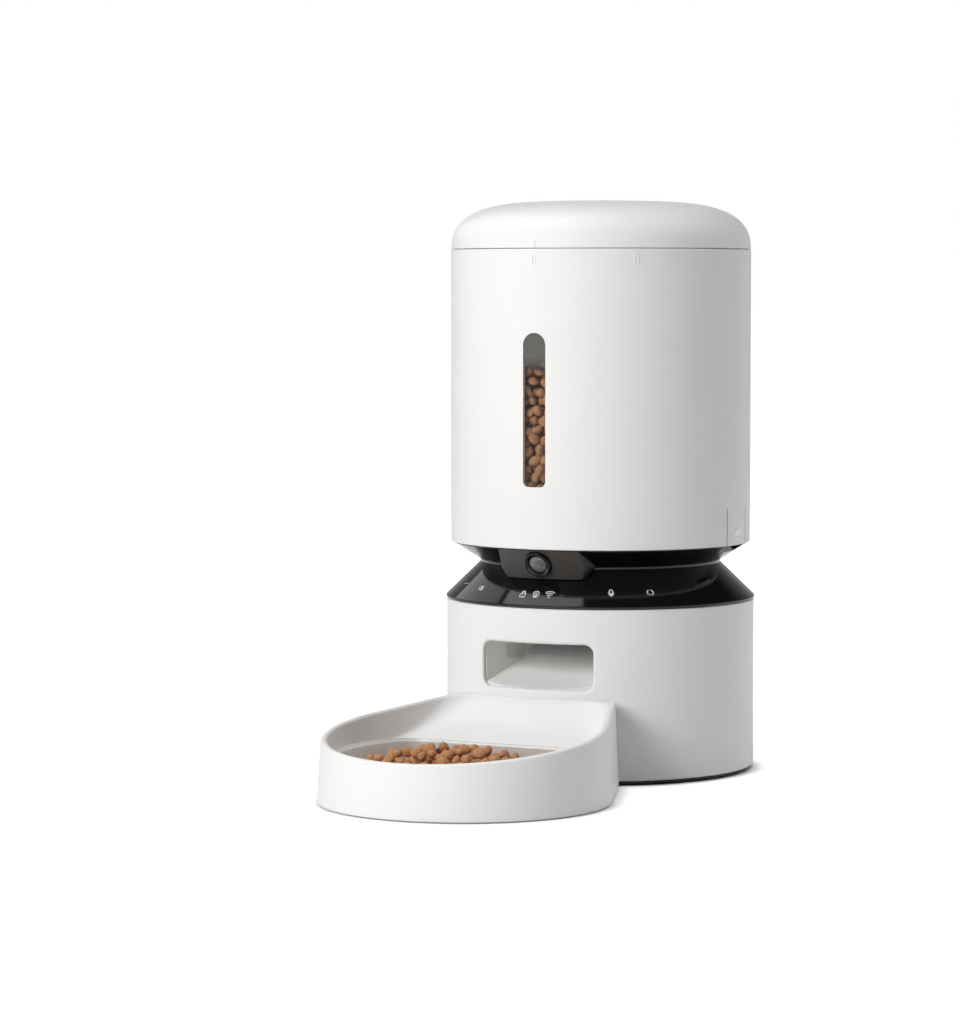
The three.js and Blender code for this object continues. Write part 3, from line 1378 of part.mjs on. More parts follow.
// Base
add('base_shell', white, makeBaseShell());
add('base_pan', mattBlack, makeBasePan());
footPlaces.forEach((angle, i) => add(`foot_${i + 1}`, rubber,
  turned(prism(footOutline(0), 0, panBottom + footSink - seatGap), angle)));
placesAround.forEach((angle, i) => add(`pan_screw_${i + 1}`, screwSteel, turned(makePanScrew(), angle)));
add('battery_door', mattBlack, makeBatteryDoor());
for (let i = 0; i < cellCount; i += 1) {
  add(`battery_cell_${i + 1}`, cellJacket, makeCell((i - (cellCount - 1) / 2) * cellPitch, i % 2 === 1));
}
add('battery_contacts_front', contactMetal, makeContacts(bayCentre - bayHalfLength + seatGap));
add('battery_contacts_rear', contactMetal, makeContacts(bayCentre + bayHalfLength - seatGap - contactThick));
add('main_board', greenBoard, makeMainBoard());
add('speaker', mattBlack, makeSpeaker());
add('power_jack', mattBlack, makeJack());

const pocketed = [-1, 1].reduce((chute, side) => cut(chute, sensorPocket(side, seatGap)), makeChute());
add('chute', innerWhite, pocketed);
add('sensor_window_left', smoke, sensorPocket(-1, 0));
add('sensor_window_right', smoke, sensorPocket(1, 0));

// Neck and camera
add('control_ring', glossBlack, makeControlRing());
add('touch_board', greenBoard, makeTouchBoard());
add('neck_collar', glossBlack, makeCollar());
add('camera_housing', glossBlack, makeCameraHousing());
add('camera_bezel', mattBlack, makeCameraBezel());
add('camera_lens', lensGlass, makeCameraLens());
add('camera_board', greenBoard, makeCameraBoard());

// Drive
add('gear_case', gearPlastic, makeGearCase());
add('gear_cover', gearPlastic, makeGearCover());
add('motor', motorSteel, makeMotor());
add('motor_pinion', contactMetal, makeMotorPinion());
add('cluster_gear', gearPlastic, makeClusterGear());
add('output_shaft', gearPlastic, makeOutputShaft());
add('drive_coupling', mattBlack, makeDriveCoupling());

// Tank
add('tank_shell', white, makeTankShell());
add('tank_window', smoke, makeTankWindow());
add('release_tab_left', white, makeReleaseTab(-1));
add('release_tab_right', white, makeReleaseTab(1));
add('hopper', innerWhite, makeHopper());
add('outlet_baffle', innerWhite, makeBaffle());
add('food_wheel', innerWhite, makeFoodWheel());
add('stirrer', screwSteel, makeStirrer());

// Lid
add('lid_cover', white, makeLidCover());
add('lid_liner', white, makeLidLiner());
add('lid_seal', silicone, makeLidSeal());
add('desiccant_pack', silicone, makeDryPack());
add('desiccant_door', white, makeDryDoor());

// Tray and bowl
add('tray', white, makeTray());
[[-1, -1], [1, -1], [-1, 1], [1, 1]].forEach(([x, y], i) => add(`tray_pad_${i + 1}`, rubber,
  rod(x * padPlaceX, -trayCentre + y * padPlaceY, padRadius, 0, trayFloorUnder - seatGap)));
add('steel_bowl', brushedSteel, makeSteelBowl());

feeder.position.y = -(trayFront + ringRadius) / 2;

export default feeder;
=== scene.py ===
"""A camera pet feeder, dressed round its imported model: white shells, black neck, tray, bowl and food."""

import json
import math
import random

import bmesh
import bpy
from mathutils import Matrix, Vector


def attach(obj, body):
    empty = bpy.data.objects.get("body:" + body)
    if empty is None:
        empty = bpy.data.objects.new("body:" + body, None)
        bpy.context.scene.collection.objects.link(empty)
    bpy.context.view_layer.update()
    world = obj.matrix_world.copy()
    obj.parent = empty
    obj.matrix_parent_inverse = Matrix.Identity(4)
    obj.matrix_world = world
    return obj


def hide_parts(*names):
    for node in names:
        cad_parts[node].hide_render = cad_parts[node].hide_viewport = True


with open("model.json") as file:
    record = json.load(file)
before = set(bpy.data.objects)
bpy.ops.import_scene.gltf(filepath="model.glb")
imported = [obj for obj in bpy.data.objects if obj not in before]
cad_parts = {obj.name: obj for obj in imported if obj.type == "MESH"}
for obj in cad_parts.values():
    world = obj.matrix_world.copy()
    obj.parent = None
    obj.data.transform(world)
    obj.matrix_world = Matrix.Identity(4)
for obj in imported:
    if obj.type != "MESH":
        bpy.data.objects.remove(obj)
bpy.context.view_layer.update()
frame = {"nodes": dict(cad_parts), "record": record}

# Pieces are drawn in millimetres about the upright axis of the base, and then brought into the row frame.
MM = 0.001
AXIS_Y = 85.6
ROW_FRAME = Matrix.Translation((0, AXIS_Y * MM, 0)) @ Matrix.Scale(MM, 4)

# How finely round pieces are divided
SHELL_SIDES = 192
SMALL_SIDES = 64
MIC_SIDES = 24
ARC_STEPS = 6
FINE_STEPS = 8
WINDOW_STEPS = 12
DOME_STEPS = 48

# The distance within which points are one, and how far a cut runs over
WELD = 1e-4
OVER = 1

# Sizes of the base, the neck and the camera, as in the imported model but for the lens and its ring
BASE_RADIUS, BASE_TOP, BASE_BOTTOM, BASE_WALL = 95, 105.4, 2.8, 3
EDGE_ROUND = 0.8
MOUTH_HALF, MOUTH_LOW, MOUTH_HIGH, MOUTH_CORNER, MOUTH_FLARE = 36.6, 56.7, 84.2, 5.6, 2
MOUTH_STEP = 3
SPEAKER_HEIGHT, SLOT_COUNT, SLOT_PITCH, SLOT_WIDTH, SLOT_LENGTH = 72, 5, 5.4, 2.2, 17
JACK_HEIGHT, JACK_HOLE = 16, 4.2
HOOK_PLACE, HOOK_WIDTH, HOOK_LOW, HOOK_HIGH = 28, 12.8, 12.6, 16.4
WAIST, WAIST_LOW, WAIST_HIGH = 74.4, 127.65, 127.95
RING_RADIUS, RING_LOW, RING_SHOULDER, RING_ROUND = 95.5, 105.7, 107.15, 0.9
RING_EDGE, RING_WALL, SHOULDER_WALL, WAIST_LIP = 0.3, 2.4, 3.4, 1.2
SKIRT_IN, SKIRT_OUT, SKIRT_DEPTH = 89.5, 91.7, 6.6
BAND_TOP, BAND_ROUND = 129.25, 1.6
COLLAR_RIM, COLLAR_TOP, SPIGOT, SPIGOT_TOP, COLLAR_WALL = 91.1, 140, 88.7, 148.2, 2.4
RIM_EDGE, WAIST_WALL, CONE_WALL, CONE_RISE = 0.25, 2.7, 3.4, 1
OUTLET_HALF, OUTLET_FRONT, OUTLET_REAR = 19.3, -49.3, -23.7
DECK_LOW, DECK_TOP, DECK_HOLE = 125.8, 128.3, 11.4
NOTCH_HALF, NOTCH_FACE, NOTCH_LOW, NOTCH_SLOPE = 15, 84.6, 134.6, 5
CAM_RADIUS, CAM_HEIGHT, CAM_TILT, CAM_HALF, CAM_FLARE = 86.4, 131.4, 28.2, 26.6, 10
CAM_LOW, CAM_HIGH, CAM_BACK, CAM_CORNER = 122.2, 139.8, 67, 4
CAM_ROOM, CAM_ROUND, TOP_SPREAD = 0.3, 0.45, 0.5
LENS_RADIUS, LENS_FOOT, LENS_LOW, LENS_RISE = 5.75, -3.5, 0.1, 1.5
LENS_BORE, LENS_SEAT, LENS_SEAT_LOW, MIC_HOLE, MIC_PLACE = 6.9, 8.9, -0.8, 0.45, -9.5
LENS_ROOM_LOW, LENS_ROOM_HIGH, BORE_HIGH, MIC_LOW = -7, 4.4, 2.2, -4.4
BEZEL = [(5.9, LENS_FOOT), (6.6, LENS_FOOT), (6.6, -0.5), (8.6, -0.5),
         (8.3, 2.2, 0.7), (7.3, 2.2, 0.4), (5.9, 1.3)]
LENS_FRAME = (Matrix.Translation((0, -CAM_RADIUS, CAM_HEIGHT))
              @ Matrix.Rotation(math.radians(90 + CAM_TILT), 4, "X"))

# Sizes of the tank and the lid
TANK_RADIUS, TANK_WALL, TANK_LOW, TANK_TOP = 92.4, 2.5, 140.3, 319.8
TANK_FOOT, FOOT_ROUND, RIM_ROUND = 89.1, 1, 0.7
LEDGE_HEIGHT, LEDGE_THICK, LEDGE_REACH = 170, 2, 1.8
WINDOW_HALF, WINDOW_LOW, WINDOW_HIGH, WINDOW_CORNER = 7.4, 177.7, 269.7, 3.5
PANE_REACH, PANE_SUNK, PANE_SPARE, PANE_GAP = 0.3, 0.35, 6, 0.25
TAB_HALF, TAB_TOP, TAB_SLIT, TAB_ROOM, TAB_SLOPE = 12.92, 163, 1.3, 0.05, 0.8
TAB_MARKS, MARK_HALF = ((146.6, 151.4, True), (144.3, 145.3, False)), 6.5
MARKS_LOW, MARKS_HIGH, MARK_DEPTH, TIP_SHARE = 142, 155, 2, 0.02
TURN_MARK_DROP, TURN_MARK_WIDTH, TURN_MARK_HEIGHT, TURN_MARK_LINE = 6.6, 2.5, 6.4, 0.5
TURN_BAND_REACH, TURN_BAND_DROP = 6, 1
TURN_MARK_RISE, TAB_MARK_RISE, MARK_ROOT = 0.35, 0.6, 0.5
LID_RADIUS, LID_LOW, LID_HEIGHT, LID_WALL = 92.2, 320.2, 29.3, 2.3
LID_MARK_HALF, LID_MARK_LOW, LID_MARK_HIGH = 0.4, 0.2, 4.6
SHOULDER_SHARE, CROWN_SHARE = 4.32, 2.4
LOCK_TURN = 38.7


def deselected():
    """Leaves edit mode and selects nothing."""
    if bpy.context.object and bpy.context.object.mode != "OBJECT":
        bpy.ops.object.mode_set(mode="OBJECT")
    bpy.ops.object.select_all(action="DESELECT")


def begin(primitive, **settings):
    """Adds a primitive alone and opens it with all of it selected."""
    deselected()
    primitive(**settings)
    bpy.ops.object.mode_set(mode="EDIT")
    bpy.ops.mesh.select_all(action="SELECT")


def taken(piece):
    """Selects one piece alone and makes it the active one."""
    deselected()
    piece.select_set(True)
    bpy.context.view_layer.objects.active = piece
    return piece


def ended(name, place=None):
    """Welds and orients what was modelled, and applies where it goes."""
    bpy.ops.mesh.select_all(action="SELECT")
    bpy.ops.mesh.remove_doubles(threshold=WELD)
    bpy.ops.mesh.normals_make_consistent(inside=False)
    bpy.ops.object.mode_set(mode="OBJECT")
    piece = bpy.context.object
    piece.name = name
    if place is not None:
        piece.matrix_world = place @ piece.matrix_world
    bpy.ops.object.transform_apply(location=True, rotation=True, scale=True)
    return piece


def rounded(corners, steps=ARC_STEPS):
    """Replaces each corner (x, y, radius) of a closed outline by an arc of that radius."""
    outline = []
    for i, (x, y, *radius) in enumerate(corners):
        here = Vector((x, y))
        if not radius:
            outline.append((x, y))
            continue
        before = (Vector(corners[i - 1][:2]) - here).normalized()
        after = (Vector(corners[(i + 1) % len(corners)][:2]) - here).normalized()
        half = before.angle(after) / 2
        centre = here + (before + after).normalized() * radius[0] / math.sin(half)
        start = here + before * radius[0] / math.tan(half) - centre
        end = here + after * radius[0] / math.tan(half) - centre
        sweep = math.atan2(start.x * end.y - start.y * end.x, start.dot(end))
        for k in range(steps + 1):
            turn = sweep * k / steps
            spoke = Matrix.Rotation(turn, 2) @ start
            outline.append(tuple(centre + spoke))
    return outline


def leans(span, count):
    """Evenly spaced angles from nothing to a span in degrees."""
    return [math.radians(span * k / count) for k in range(count + 1)]


def evenly(count):
    """Evenly spaced shares from nothing to one."""
    return [k / count for k in range(count + 1)]


def lathe(name, outline, sides=SHELL_SIDES, place=None):
    """Raises a circle along an outline of (radius, height) pairs that closes on itself or on the axis."""
    capped = outline[0][0] == 0
    rings = outline[1:-1] if capped else outline + outline[:1]
    radius, height = rings[0]
    begin(bpy.ops.mesh.primitive_circle_add, vertices=sides, radius=radius, location=(0, 0, height))
    for next_radius, next_height in rings[1:]:
        bpy.ops.mesh.extrude_region_move(TRANSFORM_OT_translate={"value": (0, 0, next_height - height)})
        share = next_radius / radius
        bpy.ops.transform.resize(value=(share, share, 1), center_override=(0, 0, next_height))
        radius, height = next_radius, next_height
    if capped:
        close_on_axis(outline[-1][1] - height)
        bpy.ops.mesh.select_non_manifold(extend=False, use_wire=False, use_boundary=True,
                                         use_multi_face=False, use_non_contiguous=False, use_verts=False)
        close_on_axis(outline[0][1] - rings[0][1])
    return ended(name, place)


def close_on_axis(rise):
    """Draws the selected ring together in one point on the axis."""
    bpy.ops.mesh.extrude_region_move(TRANSFORM_OT_translate={"value": (0, 0, rise)})
    bpy.ops.mesh.merge(type="CENTER")


def skin(name, rings, place=None):
    """Closes a stack of equal rings of points into one body, with a fan over each end."""
    mesh = bpy.data.meshes.new(name)
    edit = bmesh.new()
    loops = [[edit.verts.new(point) for point in ring] for ring in rings]
    for low, high in zip(loops, loops[1:]):
        for i in range(len(low)):
            following = (i + 1) % len(low)
            edit.faces.new((low[i], low[following], high[following], high[i]))
    for loop in (loops[0], loops[-1]):
        middle = edit.verts.new(sum((vert.co for vert in loop), Vector()) / len(loop))
        for i, vert in enumerate(loop):
            edit.faces.new((vert, loop[(i + 1) % len(loop)], middle))
    bmesh.ops.recalc_face_normals(edit, faces=edit.faces[:])
    edit.to_mesh(mesh)
    edit.free()
    piece = bpy.data.objects.new(name, mesh)
    bpy.context.scene.collection.objects.link(piece)
    taken(piece)
    if place is not None:
        piece.matrix_world = place
        bpy.ops.object.transform_apply(location=True, rotation=True, scale=True)
    return piece


def plate(name, width, height, depth, corner=0, foot_corner=None, place=None, steps=ARC_STEPS):
    """An upright plate across Y, rounded by corner above and foot_corner below, and as thick as depth."""
    begin(bpy.ops.mesh.primitive_plane_add, size=1, rotation=(math.radians(90), 0, 0))
    bpy.ops.transform.resize(value=(width, 1, height), center_override=(0, 0, 0))
    for radius, upper in ((corner, True), (corner if foot_corner is None else foot_corner, False)):
        if radius:
            pick(lambda co: (co.z > 0) == upper and abs(abs(co.x) - width / 2) < WELD
                 and abs(abs(co.z) - height / 2) < WELD)
            bpy.ops.mesh.bevel(offset=radius, segments=steps, affect="VERTICES")
    bpy.ops.mesh.select_all(action="SELECT")
    bpy.ops.mesh.extrude_region_move(TRANSFORM_OT_translate={"value": (0, depth, 0)})
    return ended(name, place)


def pick(test):
    """Selects the vertices of the open piece whose place in the scene passes a test."""
    piece = bpy.context.object
    bpy.ops.mesh.select_all(action="DESELECT")
    edit = bmesh.from_edit_mesh(piece.data)
    for vert in edit.verts:
        vert.select_set(bool(test(piece.matrix_world @ vert.co)))
    edit.select_flush_mode()
    bmesh.update_edit_mesh(piece.data)


def brick(name, low, high, place=None):
    """A block between two corners."""
    begin(bpy.ops.mesh.primitive_cube_add, size=1)
    bpy.ops.transform.resize(value=[b - a for a, b in zip(low, high)], center_override=(0, 0, 0))
    bpy.ops.transform.translate(value=[(a + b) / 2 for a, b in zip(low, high)])
    return ended(name, place)


def rod(name, radius, low, high, place=None, sides=SMALL_SIDES):
    """A round rod along the upright axis of its place."""
    begin(bpy.ops.mesh.primitive_circle_add, vertices=sides, radius=radius, location=(0, 0, low),
          fill_type="NGON")
    bpy.ops.mesh.extrude_region_move(TRANSFORM_OT_translate={"value": (0, 0, high - low)})
    return ended(name, place)


def carved(piece, *tools, operation="DIFFERENCE"):
    """Takes the tools out of a piece, or keeps or adds them, and removes them from the scene."""
    for tool in tools:
        taken(piece)
        bpy.ops.object.modifier_add(type="BOOLEAN")
        boolean = piece.modifiers[-1]
        boolean.operation = operation
        boolean.solver = "EXACT"
        boolean.object = tool
        bpy.ops.object.modifier_apply(modifier=boolean.name)
        bpy.data.objects.remove(tool)
    return piece


def softened(piece, width, segments=2, angle=40):
    """Rounds the sharp edges of a piece."""
    taken(piece)
    bpy.ops.object.modifier_add(type="BEVEL")
    bevel = piece.modifiers[-1]
    bevel.width = width
    bevel.segments = segments
    bevel.limit_method = "ANGLE"
    bevel.angle_limit = math.radians(angle)
    bevel.miter_outer = "MITER_ARC"
    bpy.ops.object.modifier_apply(modifier=bevel.name)
    return piece


def turned(angle, place=Matrix.Identity(4)):
    """A place turned about the upright axis from the front towards +X."""
    return Matrix.Rotation(math.radians(angle), 4, "Z") @ place


def settled(piece, body, slot, *nodes, finish=None, smooth=35, even=True):
    """Brings a piece into the row frame, shades it, and hands it to its body in place of its CAD nodes.

    It takes the finish of its slot unless another one is given.
    """
    taken(piece)
    piece.data.transform(ROW_FRAME)
    bpy.ops.object.shade_smooth_by_angle(angle=math.radians(smooth))
    if even:
        bpy.ops.object.modifier_add(type="WEIGHTED_NORMAL")
        piece.modifiers[-1].keep_sharp = True
        bpy.ops.object.modifier_apply(modifier=piece.modifiers[-1].name)
    piece.data.materials.clear()
    piece.data.materials.append(finish or FINISHES[slot])
    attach(piece, body)
    if nodes:
        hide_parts(*nodes)
    return piece


# The photograph's view
CAMERA_PLACE = Vector((0.958, -1.92559, 0.29825))
CAMERA_FORWARD = Vector((-0.45911, 0.88614, -0.06296))
CAMERA_LENS = 126.62


def set_camera():
    """Stands the camera where the photograph was taken."""
    bpy.ops.object.camera_add(location=CAMERA_PLACE)
    camera = bpy.context.object
    camera.rotation_euler = CAMERA_FORWARD.to_track_quat("-Z", "Y").to_euler()
    camera.data.lens = CAMERA_LENS
    camera.data.sensor_width = 36
    camera.data.clip_end = 60
    bpy.context.scene.camera = camera


def softbox(name, place, aim, width, height, power, mirrored=False):
    """A wide lamp that points at a spot. It either lights the scene or is only seen in glossy surfaces."""
    bpy.ops.object.light_add(type="AREA", location=place)
    lamp = bpy.context.object
    lamp.name = name
    lamp.rotation_euler = (Vector(aim) - Vector(place)).to_track_quat("-Z", "Y").to_euler()
    lamp.data.shape = "RECTANGLE"
    lamp.data.size = width
    lamp.data.size_y = height
    lamp.data.energy = power
    lamp.visible_diffuse = not mirrored
    lamp.visible_glossy = mirrored


ROOM_LIGHT = 0.045
LAMPS = [
    ("key_lamp", (-0.588, -2.05, 1.062), (0, 0, 0.2), 1.3, 1.2, 46),
    ("rear_lamp", (1.395, 1.549, 1.172), (0, 0, 0.2), 2.0, 2.0, 21),
    ("top_lamp", (0, 0, 2.3), (0, 0, 0.2), 1.4, 1.4, 17),
    ("left_lamp", (-1.211, 1.443, 1.519), (0, 0, 0.2), 1.2, 1.2, 6.4),
]
PANELS = [
    ("upper_panel", (-0.9, -0.2, 2.1), (-0.9, -0.2, 0), 1.5, 1.4, 12),
    ("left_panel", (-1.75, 0.6, 1.3), (0, 0, 0.1), 1.4, 1.2, 5),
    ("front_panel", (-0.41, -1.42, 1.96), (0, 0, 0.13), 0.4, 0.4, 2.5),
]


class Wire:
    """A socket of a node tree that takes part in sums: each operator adds a Math node."""

    def __init__(self, tree, socket):
        self.tree, self.socket = tree, socket

    def maths(self, operation, *values):
        """Adds a Math node and gives its result."""
        return self.tree.node("ShaderNodeMath", {"operation": operation}, dict(enumerate(values)))

    def __add__(self, other):
        return self.maths("ADD", self, other)

    def most(self, other):
        """The larger of two values."""
        return self.maths("MAXIMUM", self, other)

    def __rsub__(self, other):
        return self.maths("SUBTRACT", other, self)

    def __mul__(self, other):
        return self.maths("MULTIPLY", self, other)


class Finish:
    """The nodes of a procedural material, or of the room's light, built one by one."""

    def __init__(self, owner, shader="Principled BSDF", place="Object"):
        owner.use_nodes = True
        self.material = owner
        self.tree = owner.node_tree
        self.shader = self.tree.nodes[shader]
        self.place = self.node("ShaderNodeTexCoord", output=place)

    def node(self, kind, settings=None, sockets=None, output=0):
        """Adds a node, sets its settings first and then its sockets, and gives one of its outputs."""
        node = self.tree.nodes.new(kind)
        for key, value in (settings or {}).items():
            setattr(node, key, value)
        for key, value in (sockets or {}).items():
            self.feed(node.inputs[key], value)
        return Wire(self, node.outputs[output])

    def feed(self, socket, value):
        """Links a socket to a wire, or sets its value."""
        if isinstance(value, Wire):
            self.tree.links.new(value.socket, socket)
        elif socket.type == "RGBA" and len(value) == 3:
            socket.default_value = (*value, 1)
        else:
            socket.default_value = value

    def noise(self, scale, detail=2, rough=0.5, stretch=None, output="Fac"):
        """Cloudy noise of so many features in a metre, stretched along the axes where asked."""
        place = self.place if stretch is None else self.node(
            "ShaderNodeMapping", {}, {"Vector": self.place, "Scale": stretch})
        return self.node("ShaderNodeTexNoise", {}, {
            "Vector": place, "Scale": scale, "Detail": detail, "Roughness": rough}, output)

    def between(self, mask, one, other):
        """Mixes two colours by a mask."""
        return self.node("ShaderNodeMix", {"data_type": "RGBA"}, {0: mask, 6: one, 7: other}, 2)

    def bump(self, height, strength, distance):
        """A surface raised by a pattern, as a normal."""
        return self.node("ShaderNodeBump", {}, {
            "Height": height, "Strength": strength, "Distance": distance}, "Normal")

    def surface(self, **sockets):
        """Feeds the shader's sockets, whose names have _ for a space, and gives what carries the nodes."""
        for key, value in sockets.items():
            self.feed(self.shader.inputs[key.replace("_", " ")], value)
        return self.material


def moulded(name, colour, shade, rough=0.42, grain=0.05, spec=0.5):
    """Moulded plastic with a fine spark-eroded grain and faint clouds in its colour and sheen."""
    finish = Finish(bpy.data.materials.new(name))
    clouds = finish.noise(14, 3)
    fine = finish.noise(2600, 2, 0.6)
    return finish.surface(
        Base_Color=finish.between(clouds, colour, shade),
        Roughness=finish.noise(60, 3) * 0.1 + (rough - 0.05),
        Specular_IOR_Level=spec,
        Normal=finish.bump(fine, grain, 0.0001))


def glossy_black(name):
    """Polished black plastic, with a barely uneven surface and faint traces of handling."""
    finish = Finish(bpy.data.materials.new(name))
    traces = finish.noise(30, 4, 0.6)
    return finish.surface(
        Base_Color=finish.between(finish.noise(12), (0.004, 0.004, 0.0042), (0.006, 0.006, 0.006)),
        Roughness=traces * 0.05 + 0.06,
        Normal=finish.bump(finish.noise(25, 1), 0.02, 0.0005))


# Over the food the pane is nearly clear, so the food shows brightly lit; above it the pane turns nearly
# opaque grey, painted shade for the dim empty tank behind
PANE_SHADE_BY_HEIGHT = {"From Min": 0.245, "From Max": 0.257, "To Min": 0.06, "To Max": 0.72}


def smoked(name):
    """Smoke-grey clear plastic that shows the food behind it; it is nearly clear over the food and nearly
    opaque above it, painted shade for the dim empty tank.
    """
    finish = Finish(bpy.data.materials.new(name))
    height = finish.node("ShaderNodeSeparateXYZ", {}, {"Vector": finish.place}, "Z")
    # Painted shade: the pane's cover grows with height above the food line
    painted_shade = finish.node("ShaderNodeMapRange", {"interpolation_type": "SMOOTHSTEP"},
                        {"Value": height, **PANE_SHADE_BY_HEIGHT}, "Result")
    return finish.surface(
        Base_Color=finish.between(finish.noise(20), (0.15, 0.143, 0.135), (0.17, 0.163, 0.155)),
        Roughness=finish.noise(90, 3) * 0.06 + 0.1,
        Alpha=finish.noise(30) * 0.04 + painted_shade)


def frosted(name):
    """Pale frosted plastic over a food sensor."""
    finish = Finish(bpy.data.materials.new(name))
    return finish.surface(
        Base_Color=finish.between(finish.noise(40), (0.6, 0.595, 0.58), (0.64, 0.635, 0.62)),
        Roughness=finish.noise(200) * 0.1 + 0.5,
        Normal=finish.bump(finish.noise(1500), 0.05, 0.0001))


def drawn_steel(name, colour, rough, lines=1800, metal=1.0):
    """Drawn stainless steel with fine level polishing lines."""
    finish = Finish(bpy.data.materials.new(name))
    strokes = finish.noise(1, 3, 0.7, stretch=(60, 60, lines))
    return finish.surface(
        Base_Color=finish.between(finish.noise(25, 2), colour, tuple(0.88 * part for part in colour)),
        Metallic=metal,
        Roughness=strokes * 0.14 + (rough - 0.05),
        Normal=finish.bump(strokes, 0.05, 0.0001))


def soft_rubber(name, colour):
    """Dull moulded rubber with a fine grain."""
    finish = Finish(bpy.data.materials.new(name))
    return finish.surface(
        Base_Color=finish.between(finish.noise(160, 3), colour, tuple(1.25 * part for part in colour)),
        Roughness=finish.noise(400, 2) * 0.15 + 0.7,
        Normal=finish.bump(finish.noise(3000, 2), 0.2, 0.0001))


def circuit(name):
    """Green board lacquer over faint copper tracks."""
    finish = Finish(bpy.data.materials.new(name))
    tracks = finish.node("ShaderNodeTexBrick", {"offset": 0.5}, {
        "Vector": finish.place, "Scale": 260.0, "Mortar Size": 0.03, "Color1": (0, 0, 0), "Color2": (0, 0, 0),
        "Mortar": (1, 1, 1)}, "Color")
    return finish.surface(
        Base_Color=finish.between(tracks, (0.012, 0.085, 0.035), (0.05, 0.2, 0.08)),
        Roughness=finish.noise(90) * 0.2 + 0.3,
        Normal=finish.bump(tracks, 0.15, 0.0001))


def cell_wrap(name):
    """Shrink film over a battery cell, slightly rippled."""
    finish = Finish(bpy.data.materials.new(name))
    return finish.surface(
        Base_Color=finish.between(finish.noise(40, 2), (0.02, 0.03, 0.05), (0.03, 0.04, 0.065)),
        Roughness=finish.noise(60) * 0.15 + 0.25,
        Normal=finish.bump(finish.noise(250, 2), 0.15, 0.0003))


def fleece(name):
    """White bonded fibre of the drying bag."""
    finish = Finish(bpy.data.materials.new(name))
    fibres = finish.noise(1, 4, 0.7, stretch=(900, 1400, 1100))
    return finish.surface(
        Base_Color=finish.between(fibres, (0.75, 0.75, 0.73), (0.9, 0.9, 0.88)),
        Roughness=finish.noise(500) * 0.1 + 0.82,
        Normal=finish.bump(fibres, 0.5, 0.0003))


def baked_food(name):
    """Baked dry food: orange brown, darker in fine speckles that also sit in the dips of its bumped surface,
    and from piece to piece.
    """
    finish = Finish(bpy.data.materials.new(name))
    crumb = finish.noise(900, 4, 0.65)
    pieces = finish.noise(70, 2)
    pores = finish.node("ShaderNodeTexVoronoi", {}, {"Vector": finish.place, "Scale": 700.0}, "Distance")
    tint = finish.between(pieces, (0.72, 0.34, 0.15), (0.97, 0.58, 0.32))
    speckled = finish.between(crumb * 0.75, (0.26, 0.095, 0.03), tint)
    return finish.surface(
        Base_Color=speckled,
        Roughness=crumb * 0.2 + 0.62,
        Normal=finish.bump(crumb + pores * 0.5, 0.7, 0.0008))


def lit_mark(name, colour, strength):
    """A printed sign that glows, a little uneven: lit from behind when its light is on, and faintly, as
    painted light, when it is off.
    """
    finish = Finish(bpy.data.materials.new(name))
    glow = finish.between(finish.noise(300, 2), colour, tuple(0.85 * part for part in colour))
    return finish.surface(Base_Color=glow, Roughness=finish.noise(100) * 0.1 + 0.3,
                          Emission_Color=glow, Emission_Strength=strength)


def lens_coat(name):
    """Dark coated glass."""
    finish = Finish(bpy.data.materials.new(name))
    return finish.surface(
        Base_Color=finish.between(finish.noise(200), (0.1, 0.097, 0.095), (0.15, 0.146, 0.142)),
        Roughness=finish.noise(150) * 0.03 + 0.02,
        Coat_Weight=1.0, Coat_Roughness=0.02)


FINISHES = {
    "white_shell": moulded("white_shell", (0.83, 0.827, 0.82), (0.85, 0.847, 0.84)),
    "inner_white": moulded("inner_white", (0.78, 0.776, 0.765), (0.81, 0.806, 0.795), rough=0.5),
    "gloss_black": glossy_black("gloss_black"),
    "matt_black": moulded("matt_black", (0.012, 0.012, 0.013), (0.018, 0.018, 0.019), rough=0.5, grain=0.2),
    "smoke_window": frosted("smoke_window"),
    "lens_glass": lens_coat("lens_glass"),
    "rubber": soft_rubber("rubber", (0.05, 0.05, 0.05)),
    "silicone": soft_rubber("silicone", (0.6, 0.6, 0.59)),
    "desiccant_bag": fleece("desiccant_bag"),
    "gear_plastic": moulded("gear_plastic", (0.72, 0.69, 0.6), (0.76, 0.73, 0.64), rough=0.4),
    "green_board": circuit("green_board"),
    "cell_jacket": cell_wrap("cell_jacket"),
    "bowl_steel": drawn_steel("bowl_steel", (0.93, 0.92, 0.905), rough=0.3, metal=0.5),
    "screw_steel": drawn_steel("screw_steel", (0.45, 0.45, 0.46), rough=0.35),
    "motor_steel": drawn_steel("motor_steel", (0.55, 0.55, 0.56), rough=0.3, lines=900),
    "contact_metal": drawn_steel("contact_metal", (0.65, 0.62, 0.52), rough=0.3, lines=900),
}
PANE = smoked("window_pane")
SATIN_BLACK = moulded("satin_black", (0.044, 0.041, 0.039), (0.05, 0.047, 0.045), rough=0.4)
FOOD = baked_food("dry_food")
# The tab marks are the tank's own white plastic; their paler, glossier finish is a painted highlight for
# faces that catch the light
PAINTED_LIT_MARK = moulded("painted_lit_mark", (0.97, 0.967, 0.96), (0.98, 0.977, 0.97), rough=0.25)
LIT = lit_mark("lit_sign", (0.95, 0.95, 0.95), 1.2)
# Signs whose light is off still glow faintly: painted light that keeps their grey print showing
UNLIT_PAINTED_GLOW = lit_mark("unlit_sign_painted_glow", (0.1, 0.1, 0.1), 0.9)


def finish_frame():
    """Gives every CAD node the procedural finish of its slot."""
    for part in frame["record"]["subparts"]:
        node = frame["nodes"][part["node"]]
        node.data.materials.clear()
        node.data.materials.append(FINISHES[part["material_slot"]])


